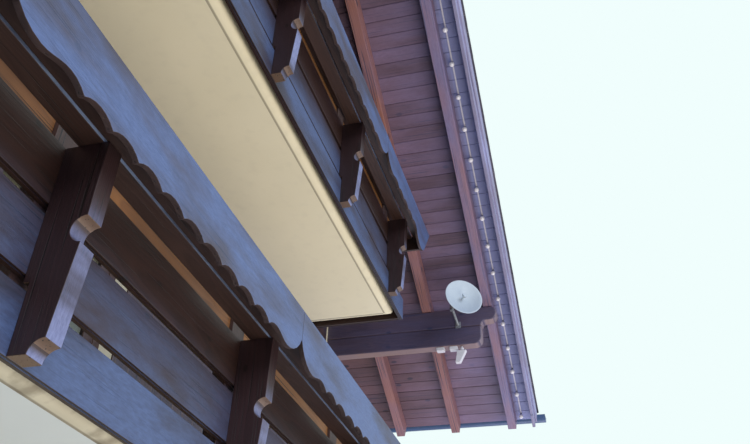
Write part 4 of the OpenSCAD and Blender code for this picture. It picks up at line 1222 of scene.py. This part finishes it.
# %% Boxes and soil
SOIL_BELOW = 0.020
BOX_WALL = 0.006
CRUMB = 0.014
HEAP = 0.009
HEAPS_A_METRE = 45


def soil_in(bm, low, high):
    """A grid of crumbs between the walls of a box, flat along its rim."""
    wide = high.x - low.x - 2 * BOX_WALL
    deep = high.y - low.y - 2 * BOX_WALL
    nx = round(wide / CRUMB)
    ny = round(deep / CRUMB)
    grid = []
    for j in range(ny + 1):
        row = []
        for i in range(nx + 1):
            x = low.x + BOX_WALL + wide * i / nx
            y = low.y + BOX_WALL + deep * j / ny
            lift = HEAP * (0.5 + 0.5 * noise.noise(Vector((x, y, 0)) * HEAPS_A_METRE))
            inside = min(i, nx - i, j, ny - j) > 0
            row.append(bm.verts.new((x, y, high.z - SOIL_BELOW + CLEAR + (lift if inside else 0))))
        grid.append(row)
    for j in range(ny):
        for i in range(nx):
            bm.faces.new((grid[j][i], grid[j][i + 1], grid[j + 1][i + 1], grid[j + 1][i]))


for storey in ("lower", "upper"):
    timber_node(storey + "_flower_boxes", dark_stain, arris=0.002)
    bm = bmesh.new()
    for low, high in boxes_of(storey + "_flower_boxes"):
        soil_in(bm, low, high)
    keep(storey + "_soil", bm, [soil])

# %% [markdown]
# ## Dish, arm and lamp
# The dish is pressed steel sheet with a pale powder coat and a flat rim; the arm is galvanised
# pipe with a clamp; the lamp and its boxes are cast and moulded. They could be built anew, but
# the imported forms are complete, so the dish only gets smooth shading, and only the edges of the
# arm and the lamp are eased: small as they are, they stand against dark boards, and a rounded edge
# gives each its thin bright line.

# %% Dish, arm and lamp
keep("dish_bowl", solids_of_node("dish"), [powder_white], replaces=["dish"])
bm = solids_of_node("dish_arm")
ease_arrises(bm, 0.001, segments=1)
keep("dish_pipe", bm, [galvanised], replaces=["dish_arm"])
bm = solids_of_node("floodlight")
ease_arrises(bm, 0.004)
keep("lamp_and_boxes", bm, [lamp_white], replaces=["floodlight"])

# %% [markdown]
# ## Festoon lights
# A flat cable runs under the verge with a globe every 351 mm. Each globe is opal plastic in a
# ribbed socket of pale grey rubber. The globes are turned here round the axis of each packed
# bulb, because a globe shows its outline and a facet would be seen against the boards.

# %% Rubber and opal plastic
def moulded(name, dull, clean, dust_mm, rough, detail=3.0, **shader_values):
    """Moulded rubber or plastic: faint clouds of dust of that size, in colour and in shine."""
    material, tree, shader = blank_material(name, **shader_values)
    place = add(tree, "NewGeometry").outputs["Position"]
    dust = add(tree, "TexNoise", {"Vector": place, "Scale": per_metre(dust_mm), "Detail": detail})
    skin = add(tree, "Mix", {0: dust.outputs[0], 6: linear(dull), 7: linear(clean)}, data_type="RGBA")
    tree.links.new(skin.outputs[2], shader.inputs["Base Color"])
    shine = add(tree, "MapRange", {0: dust.outputs[0], 3: rough[0], 4: rough[1]})
    tree.links.new(shine.outputs[0], shader.inputs["Roughness"])
    return material


# Rubber sheath: pale and dull, a thin light line along the dark boards.
cable_sheath = moulded("rubber_pale_sheath", "#c4c3cf", "#e4e3ea", 16.67, (0.45, 0.7), detail=4.0)
# Opal polycarbonate: milky, so light enters a little way and the globe has no hard shadow side.
opal = moulded("polycarbonate_opal", "#e4e6ee", "#fbfbfb", 14.29, (0.2, 0.4), IOR=1.58,
               Subsurface_Weight=0.3, Subsurface_Radius=(0.02, 0.02, 0.02))
# Rubber sockets: grey with age, darker than the globe, so the eye can tell the two apart.
socket_rubber = moulded("rubber_pale_grey", "#84858f", "#a9abb6", 11.11, (0.5, 0.75))
repaint("light_cable", cable_sheath)
print(len(bpy.data.materials), "materials")

# %% Globes and sockets
GLOBE_R = 0.026
GLOBE_STEPS = 12
SOCKET_L = 0.036
GLOBE_IN_SOCKET = 0.004
SOCKET = [(0, 0.011), (0.002, 0.013), (0.012, 0.013), (0.014, 0.0115), (0.018, 0.0115), (0.020, 0.013),
          (0.030, 0.013), (SOCKET_L + 0.002, 0.0125)]
half_turn = [math.pi * k / GLOBE_STEPS for k in range(1, GLOBE_STEPS)]
GLOBE = ([(-GLOBE_R * 0.995, 0.003)] + [(-GLOBE_R * math.cos(a), GLOBE_R * math.sin(a)) for a in half_turn]
         + [(GLOBE_R * 0.998, 0.002)])
bulbs = solids_of_node("light_bulbs")
globes = bmesh.new()
sockets = bmesh.new()
packed = separate_solids(bulbs)
for group in packed:
    middle = sum((v.co for v in group), Vector()) / len(group)
    side = 1 if middle.x > 0 else -1
    down = -Vector((side * math.sin(PITCH), 0, math.cos(PITCH)))
    lowest = max((v.co - middle).dot(down) for v in group)
    centre = middle + down * (lowest - GLOBE_R)
    base = centre - down * (GLOBE_R - GLOBE_IN_SOCKET + SOCKET_L)
    turned(globes, centre, down, GLOBE, segments=16)
    turned(sockets, base, down, SOCKET, segments=14)
bulbs.free()
for bm in (globes, sockets):
    bmesh.ops.recalc_face_normals(bm, faces=bm.faces)
keep("opal_globes", globes, [opal], replaces=["light_bulbs"])
keep("bulb_sockets", sockets, [socket_rubber])
print(len(packed), "globes")
